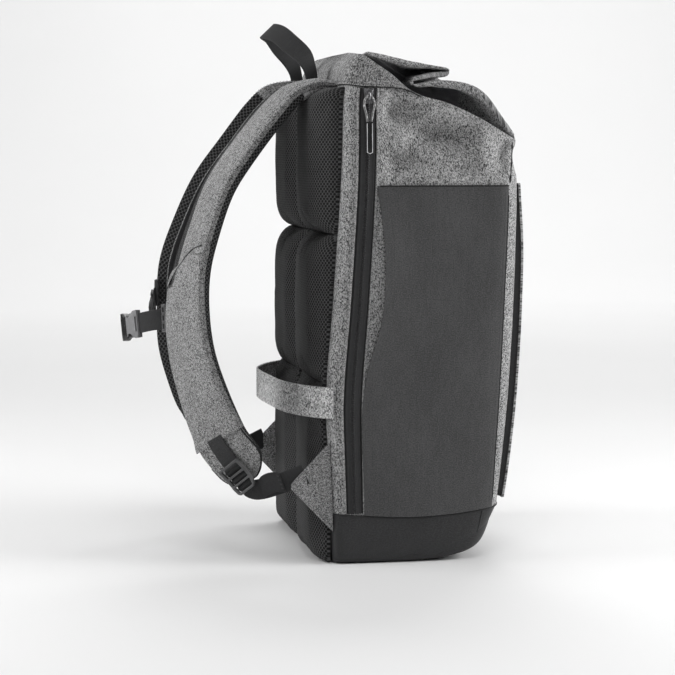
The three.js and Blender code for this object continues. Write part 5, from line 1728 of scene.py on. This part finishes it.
class Finish:
    """Material with short ways to add and join nodes."""

    def __init__(self, name, **constants):
        self.material = bpy.data.materials.new(name)
        self.material.use_nodes = True
        self.tree = self.material.node_tree
        self.shader = self.tree.nodes["Principled BSDF"]
        for socket, value in constants.items():
            self.shader.inputs[socket.replace("_", " ").title().replace("Ior", "IOR")].default_value = value

    def add(self, kind, inputs=(), **settings):
        node = self.tree.nodes.new(kind)
        for name, value in settings.items():
            setattr(node, name, value)
        for key, value in dict(inputs).items():
            if isinstance(value, bpy.types.NodeSocket):
                self.tree.links.new(value, node.inputs[key])
            else:
                node.inputs[key].default_value = value
        return node

    def math(self, operation, a, b=0.0, c=0.0):
        return self.add("ShaderNodeMath", {0: a, 1: b, 2: c}, operation=operation).outputs[0]

    def vector(self, operation, a, b=(0, 0, 0)):
        return self.add("ShaderNodeVectorMath", {0: a, 1: b}, operation=operation)

    def coordinate(self, kind):
        return self.add("ShaderNodeTexCoord").outputs[kind]

    def noise(self, vector, scale, detail=2.0, roughness=0.5):
        """Noise with its lumps' sizes in metres, one for each axis."""
        spread = tuple(1 / size for size in scale)
        mapping = self.add("ShaderNodeMapping", {"Vector": vector, "Scale": spread})
        inputs = {"Vector": mapping.outputs[0], "Scale": 1.0, "Detail": detail, "Roughness": roughness}
        return self.add("ShaderNodeTexNoise", inputs).outputs["Fac"]

    def yarns(self, uv, size, seed, turned=False):
        """Random shades of yarn pieces: rows of cells of a size, each row shifted by its own amount."""
        scaled = self.vector("DIVIDE", uv, (size[0], size[1], 1)).outputs[0]
        parts = self.add("ShaderNodeSeparateXYZ", {0: scaled}).outputs
        side, along = (parts[1], parts[0]) if turned else (parts[0], parts[1])
        row = self.math("FLOOR", side)
        jitter = self.add("ShaderNodeTexWhiteNoise", {"W": row}, noise_dimensions="1D").outputs["Value"]
        cell = self.math("FLOOR", self.math("MULTIPLY_ADD", jitter, 37.0, along))
        place = self.add("ShaderNodeCombineXYZ", {0: row, 1: cell, 2: seed}).outputs[0]
        return self.add("ShaderNodeTexWhiteNoise", {"Vector": place}, noise_dimensions="3D").outputs["Value"]

    def ramp(self, value, stops):
        node = self.add("ShaderNodeValToRGB", {"Fac": value})
        elements = node.color_ramp.elements
        while len(elements) < len(stops):
            elements.new(0.5)
        for element, (place, tint) in zip(elements, stops):
            element.position = place
            element.color = (*tint, 1)
        return node.outputs["Color"]

    def mix(self, *parts):
        """Sum of values, each with its weight."""
        total = self.math("MULTIPLY", *parts[0])
        for value, weight in parts[1:]:
            total = self.math("MULTIPLY_ADD", value, weight, total)
        return total

    def join(self, source, socket):
        self.tree.links.new(source, self.shader.inputs[socket])

    def paint(self, value, stops):
        self.join(self.ramp(value, stops), "Base Color")

    def relief(self, height, strength, distance):
        inputs = {"Height": height, "Strength": strength, "Distance": distance}
        self.join(self.add("ShaderNodeBump", inputs).outputs["Normal"], "Normal")


def tinted(tint, factor):
    return tuple(min(1.0, channel * factor) for channel in tint)


def tint_of(name, factor=1.0):
    """Colour of the settings, made lighter or darker."""
    return tinted(getattr(colours(), name), factor)


def shades(tint, *stops):
    """Stops of a ramp: places with shades of one tint."""
    return [(place, tinted(tint, factor)) for place, factor in stops]


def heather_finish(name, turned=False, fine=1.0, tone=1.0):
    """Grey melange cloth: flecked yarns both ways, a plain weave and large soft random changes of tone."""
    dark, light = tint_of("heather_dark", tone), tint_of("heather_light", tone)
    mid = tuple(0.5 * a + 0.5 * b for a, b in zip(dark, light))
    finish = Finish(name, roughness=0.95, specular_ior_level=0.2)
    uv = finish.coordinate("UV")
    long, short = 0.0013 * fine, 0.0006 * fine
    warp_size, weft_size = (short, long), (long, short)
    warp = finish.yarns(uv, weft_size if turned else warp_size, 1.0, turned)
    weft = finish.yarns(uv, warp_size if turned else weft_size, 2.0, not turned)
    fuzz = finish.noise(uv, (0.0007 * fine, 0.0007 * fine, 1), 1.0, 0.6)
    cloud = finish.noise(uv, (0.035, 0.05, 1), 3.0)
    yarns = finish.mix((weft, 0.26), (warp, 0.50), (fuzz, 0.24))
    shade = finish.math("MULTIPLY_ADD", finish.math("SUBTRACT", cloud, 0.5), 0.16, yarns)
    finish.paint(shade, [(0.26, dark), (0.50, mid), (0.76, light)])
    finish.relief(yarns, 0.4, 0.0005)
    return finish.material


def coated_finish(name, tint, roughness=0.5):
    """Coated cloth: satin, with a fine canvas under the coat and faint rub marks."""
    finish = Finish(name, roughness=roughness, specular_ior_level=0.42)
    uv = finish.coordinate("UV")
    cloud = finish.noise(uv, (0.05, 0.09, 1), 3.0)
    rub = finish.noise(uv, (0.004, 0.016, 1), 3.0, 0.6)
    grain = finish.noise(uv, (0.0012, 0.0012, 1), 2.0)
    shade = finish.mix((cloud, 0.20), (rub, 0.15), (grain, 0.65))
    finish.paint(shade, shades(tint, (0.40, 0.62), (0.51, 1), (0.64, 1.5)))
    sheen = finish.math("MULTIPLY_ADD", grain, 0.16, roughness - 0.19)
    finish.join(finish.math("MULTIPLY_ADD", cloud, 0.22, sheen), "Roughness")
    finish.relief(finish.math("MULTIPLY_ADD", rub, 0.5, grain), 0.25, 0.0004)
    return finish.material


def air_mesh_finish(name):
    """Spacer mesh: staggered holes between knitted strands."""
    strand, hole = tint_of("strand"), tint_of("hole")
    cell, radius = sizes().mesh_cell, sizes().mesh_hole
    finish = Finish(name, roughness=0.8, specular_ior_level=0.3)
    uv = finish.coordinate("UV")
    scaled = finish.vector("DIVIDE", uv, (cell[0], cell[1], 1)).outputs[0]

    def holes(shift):
        moved = finish.vector("ADD", scaled, (shift, shift, 0)).outputs[0]
        part = finish.vector("FRACTION", moved).outputs[0]
        centred = finish.vector("SUBTRACT", part, (0.5, 0.5, 0)).outputs[0]
        sized = finish.vector("MULTIPLY", centred, (cell[0], cell[1], 0)).outputs[0]
        return finish.vector("LENGTH", sized).outputs["Value"]

    distance = finish.math("MINIMUM", holes(0.0), holes(0.5))
    edge = {"Value": distance, "From Min": 0.75 * radius, "From Max": 1.15 * radius}
    wall = finish.add("ShaderNodeMapRange", edge, interpolation_type="SMOOTHSTEP")
    strands = finish.noise(uv, (0.0012, 0.0004, 1), 1.0)
    grain = finish.mix((wall.outputs[0], 0.78), (strands, 0.22))
    finish.paint(grain, [(0.08, hole), *shades(strand, (0.6, 0.7), (0.98, 1.3))])
    finish.relief(grain, 0.8, 0.0012)
    return finish.material


def woven_finish(name, tint, rib):
    """Webbing or tape: ribs across the band and dusty highs."""
    finish = Finish(name, roughness=0.75, specular_ior_level=0.35)
    uv = finish.coordinate("UV")
    dust = finish.noise(uv, (0.006, 0.003, 1), 3.0)
    yarn = finish.noise(uv, (0.0006, rib, 1), 1.5)
    ribbed = finish.add("ShaderNodeMapping", {"Vector": uv, "Scale": (1, 1 / rib, 1)}).outputs[0]
    wave = {"Vector": ribbed, "Scale": 0.5, "Distortion": 0.6}
    ribs = finish.add("ShaderNodeTexWave", wave, bands_direction="Y").outputs["Fac"]
    shade = finish.mix((dust, 0.25), (yarn, 0.4), (ribs, 0.35))
    finish.paint(shade, shades(tint, (0.22, 0.6), (0.5, 1), (0.8, 1.9)))
    finish.relief(shade, 0.6, 0.0005)
    return finish.material


def moulded_finish(name, tint, roughness):
    """Moulded plastic: fine spark-eroded grain and scuffed edges."""
    finish = Finish(name, roughness=roughness)
    place = finish.coordinate("Object")
    grain = finish.noise(place, (0.0006, 0.0006, 0.0006), 2.0)
    scuff = finish.noise(place, (0.007, 0.007, 0.007), 4.0, 0.65)
    finish.paint(scuff, shades(tint, (0.3, 0.85), (0.55, 1), (0.78, 1.5)))
    finish.join(finish.math("MULTIPLY_ADD", scuff, 0.25, roughness - 0.12), "Roughness")
    finish.relief(grain, 0.2, 0.0003)
    return finish.material


def metal_finish(name, tint):
    """Dark plated metal with fine scratches."""
    finish = Finish(name, roughness=0.32, metallic=1.0)
    place = finish.coordinate("Object")
    scratch = finish.noise(place, (0.0004, 0.0004, 0.004), 3.0)
    finish.paint(scratch, shades(tint, (0.3, 0.7), (0.7, 1.5)))
    finish.join(finish.math("MULTIPLY_ADD", scratch, 0.3, 0.2), "Roughness")
    finish.relief(scratch, 0.15, 0.0002)
    return finish.material


def braided_finish(name):
    """Braided cord with light flecks."""
    tint, fleck = tint_of("cord"), tint_of("fleck")
    finish = Finish(name, roughness=0.7)
    uv = finish.coordinate("UV")
    wave = {"Vector": uv, "Scale": 160.0, "Distortion": 2.0}
    braid = finish.add("ShaderNodeTexWave", wave, bands_direction="DIAGONAL").outputs["Fac"]
    spots = finish.noise(uv, (0.0022, 0.0035, 1), 1.0)
    finish.paint(spots, [(0.50, tint), (0.64, fleck)])
    finish.relief(braid, 0.6, 0.0004)
    return finish.material


def floor_finish(name):
    """Matt backdrop paper with a faint unevenness."""
    tint = tint_of("floor")
    finish = Finish(name, roughness=0.95, specular_ior_level=0.1)
    cloud = finish.noise(finish.coordinate("Object"), (0.6, 0.6, 0.6), 2.0)
    finish.paint(cloud, shades(tint, (0.2, 0.985), (0.8, 1.01)))
    return finish.material


# Copies of one finish with another tone are painted light and shade: the band's melange is lighter, the
# collar's, the wings' and the strap wraps' darker, and the fold's a little lighter. The buckle, near slider
# and socket plastics are lighter as painted highlights, and the grip's rim paints its highlight. The dark
# seam finish also paints the shadow lines under the collar and beside the zip tapes and the shade in the
# strap pocket's slit. The strap copy is finer and a little darker.
FINISHES = {
    "heather": lambda: heather_finish("heather_cloth"),
    "heather_side": lambda: heather_finish("heather_cloth_across", turned=True, tone=1.62),
    "heather_strap": lambda: heather_finish("heather_cloth_strap", fine=0.78, tone=0.93),
    "lining": lambda: woven_finish("fold_lining", tint_of("tape", 8.0), 0.0009),
    "heather_wing": lambda: heather_finish("heather_cloth_wing", fine=0.78, tone=0.8),
    "heather_shade": lambda: heather_finish("heather_cloth_fold", tone=1.1),
    "heather_wrap_painted_shade": lambda: heather_finish("heather_cloth_wrap", fine=0.78, tone=0.66),
    "heather_collar": lambda: heather_finish("heather_cloth_collar", tone=0.82),
    "heather_fine": lambda: heather_finish("heather_cloth_fine", fine=0.6),
    "coated": lambda: coated_finish("coated_cloth", tint_of("coated")),
    "base": lambda: coated_finish("base_cloth", tint_of("base"), 0.55),
    "air_mesh": lambda: air_mesh_finish("air_mesh"),
    "webbing": lambda: woven_finish("webbing", tint_of("webbing"), 0.0011),
    "binding": lambda: woven_finish("strap_binding", tint_of("webbing", 1.3), 0.0008),
    "tape": lambda: woven_finish("zip_tape", tint_of("tape"), 0.0007),
    "tooth": lambda: moulded_finish("zip_tooth", tint_of("tape", 1.1), 0.45),
    "plastic": lambda: moulded_finish("buckle_plastic", tint_of("plastic"), 0.42),
    "plastic_light": lambda: moulded_finish("frame_plastic", tint_of("plastic", 1.9), 0.36),
    "plastic_pale": lambda: moulded_finish("clip_plastic", tint_of("plastic", 5.0), 0.42),
    "grip": lambda: moulded_finish("grip_plastic", tint_of("grip"), 0.22),
    "rim": lambda: moulded_finish("grip_rim", tint_of("metal", 3.2), 0.25),
    "dark_seam": lambda: woven_finish("dark_seam", tint_of("tape", 0.35), 0.0007),
    "slider_metal": lambda: metal_finish("slider_metal", tint_of("metal")),
    "cord": lambda: braided_finish("pull_cord"),
    "thread": lambda: moulded_finish("thread", tint_of("thread"), 0.8),
    "floor": lambda: floor_finish("floor_paper"),
}
made_finishes = {}


def finish_named(name):
    if name not in made_finishes:
        made_finishes[name] = FINISHES[name]()
    return made_finishes[name]


# Stage

def make_floor():
    deselect()
    bpy.ops.mesh.primitive_plane_add(size=1)
    floor = bpy.context.object
    floor.name = "floor"
    shape(floor, lambda p: (STAGE["near" if p[0] < 0 else "far"], 2 * p[1] * STAGE["half"], 0))
    pick(floor)
    bpy.ops.object.mode_set(mode="EDIT")
    bpy.ops.mesh.select_mode(type="EDGE")
    bpy.ops.mesh.select_all(action="DESELECT")
    bpy.ops.object.mode_set(mode="OBJECT")
    for edge in floor.data.edges:
        edge.select = all(floor.data.vertices[v].co.x > 0 for v in edge.vertices)
    bpy.ops.object.mode_set(mode="EDIT")
    extrude((0, 0, STAGE["height"]))
    bevelled(floor, STAGE["bend"], 24)
    floor.data.materials.append(finish_named("floor"))
    pick(floor)
    bpy.ops.object.shade_smooth()


def make_lights():
    for name, place, aim, size, power in LIGHTS:
        light = bpy.data.lights.new(name, "AREA")
        light.shape = "DISK"
        light.size = size
        light.energy = power
        lamp = bpy.data.objects.new(name, light)
        lamp.location = place
        lamp.rotation_euler = (Vector(aim) - Vector(place)).to_track_quat("-Z", "Y").to_euler()
        bpy.context.scene.collection.objects.link(lamp)
    world = bpy.data.worlds.new("studio")
    world.use_nodes = True
    background = world.node_tree.nodes["Background"]
    background.inputs["Color"].default_value = WORLD_COLOUR
    background.inputs["Strength"].default_value = WORLD_STRENGTH
    bpy.context.scene.world = world


def make_camera():
    camera = bpy.data.cameras.new("camera")
    camera.sensor_width = CAMERA_SENSOR
    camera.sensor_height = CAMERA_SENSOR
    camera.angle = FIELD_OF_VIEW
    view = bpy.data.objects.new("camera", camera)
    flat = math.cos(CAMERA_ELEVATION)
    towards = Vector((
        -math.sin(CAMERA_AZIMUTH) * flat, math.cos(CAMERA_AZIMUTH) * flat, -math.sin(CAMERA_ELEVATION)))
    view.location = CAMERA_PLACE
    view.rotation_euler = towards.to_track_quat("-Z", "Y").to_euler()
    bpy.context.scene.collection.objects.link(view)
    bpy.context.scene.camera = view
    bpy.context.scene.view_settings.view_transform = "Standard"


# Operators

class BACKPACK_OT_stage(bpy.types.Operator):
    """Set up the floor, the lights and the camera"""
    bl_idname = "backpack.stage"
    bl_label = "Stage"

    def execute(self, context):
        make_floor()
        make_lights()
        make_camera()
        return {"FINISHED"}


class BACKPACK_OT_zip(bpy.types.Operator):
    """Sew the side zip and hang its pull"""
    bl_idname = "backpack.zip"
    bl_label = "Side zip"

    def execute(self, context):
        make_zip()
        make_zip_pull()
        return {"FINISHED"}


class BACKPACK_OT_body(bpy.types.Operator):
    """Sew the body and its collar"""
    bl_idname = "backpack.body"
    bl_label = "Body"

    def execute(self, context):
        make_body()
        make_collar()
        return {"FINISHED"}


class BACKPACK_OT_base(bpy.types.Operator):
    """Sew the base tray with its piping"""
    bl_idname = "backpack.base"
    bl_label = "Base"

    def execute(self, context):
        make_base()
        return {"FINISHED"}


class BACKPACK_OT_roll_top(bpy.types.Operator):
    """Fold the roll top"""
    bl_idname = "backpack.roll_top"
    bl_label = "Roll top"

    def execute(self, context):
        make_roll_top()
        return {"FINISHED"}


class BACKPACK_OT_pockets(bpy.types.Operator):
    """Sew the side pockets and the front pocket"""
    bl_idname = "backpack.pockets"
    bl_label = "Pockets"

    def execute(self, context):
        make_side_pockets()
        make_front_pocket()
        return {"FINISHED"}


class BACKPACK_OT_back(bpy.types.Operator):
    """Make the back pads, the trolley band and the handle"""
    bl_idname = "backpack.back"
    bl_label = "Back"

    def execute(self, context):
        make_back_pads()
        make_trolley_band()
        make_handle()
        return {"FINISHED"}


class BACKPACK_OT_straps(bpy.types.Operator):
    """Make the shoulder straps and the pocket on the left one"""
    bl_idname = "backpack.straps"
    bl_label = "Shoulder straps"

    def execute(self, context):
        make_straps()
        make_strap_pocket()
        return {"FINISHED"}


class BACKPACK_OT_adjusters(bpy.types.Operator):
    """Make the ladder buckles, their webs and the wings"""
    bl_idname = "backpack.adjusters"
    bl_label = "Strap adjusters"

    def execute(self, context):
        make_buckles()
        make_webs()
        make_wings()
        return {"FINISHED"}


class BACKPACK_OT_chest_strap(bpy.types.Operator):
    """Make the chest strap and its clip"""
    bl_idname = "backpack.chest_strap"
    bl_label = "Chest strap"

    def execute(self, context):
        make_chest_strap()
        return {"FINISHED"}


OPERATORS = (
    BACKPACK_OT_stage, BACKPACK_OT_zip, BACKPACK_OT_body, BACKPACK_OT_base, BACKPACK_OT_roll_top,
    BACKPACK_OT_pockets, BACKPACK_OT_back, BACKPACK_OT_straps, BACKPACK_OT_adjusters, BACKPACK_OT_chest_strap,
)


class BACKPACK_PT_panel(bpy.types.Panel):
    """Backpack tools in the sidebar"""
    bl_idname = "BACKPACK_PT_panel"
    bl_label = "Backpack"
    bl_space_type = "VIEW_3D"
    bl_region_type = "UI"
    bl_category = "Backpack"

    def draw(self, context):
        for operator in OPERATORS:
            self.layout.operator(operator.bl_idname)
        for group in (context.scene.backpack_sizes, context.scene.backpack_colours):
            for name in group.__annotations__:
                self.layout.prop(group, name)


CLASSES = (BackpackSizes, BackpackColours, *OPERATORS, BACKPACK_PT_panel)


def register():
    for cls in CLASSES:
        bpy.utils.register_class(cls)
    bpy.types.Scene.backpack_sizes = bpy.props.PointerProperty(type=BackpackSizes)
    bpy.types.Scene.backpack_colours = bpy.props.PointerProperty(type=BackpackColours)


def unregister():
    del bpy.types.Scene.backpack_colours
    del bpy.types.Scene.backpack_sizes
    for cls in reversed(CLASSES):
        bpy.utils.unregister_class(cls)


def main():
    register()
    bpy.ops.backpack.stage()
    bpy.ops.backpack.zip()
    bpy.ops.backpack.body()
    bpy.ops.backpack.base()
    bpy.ops.backpack.roll_top()
    bpy.ops.backpack.pockets()
    bpy.ops.backpack.back()
    bpy.ops.backpack.straps()
    bpy.ops.backpack.adjusters()
    bpy.ops.backpack.chest_strap()


if __name__ == "__main__":
    main()
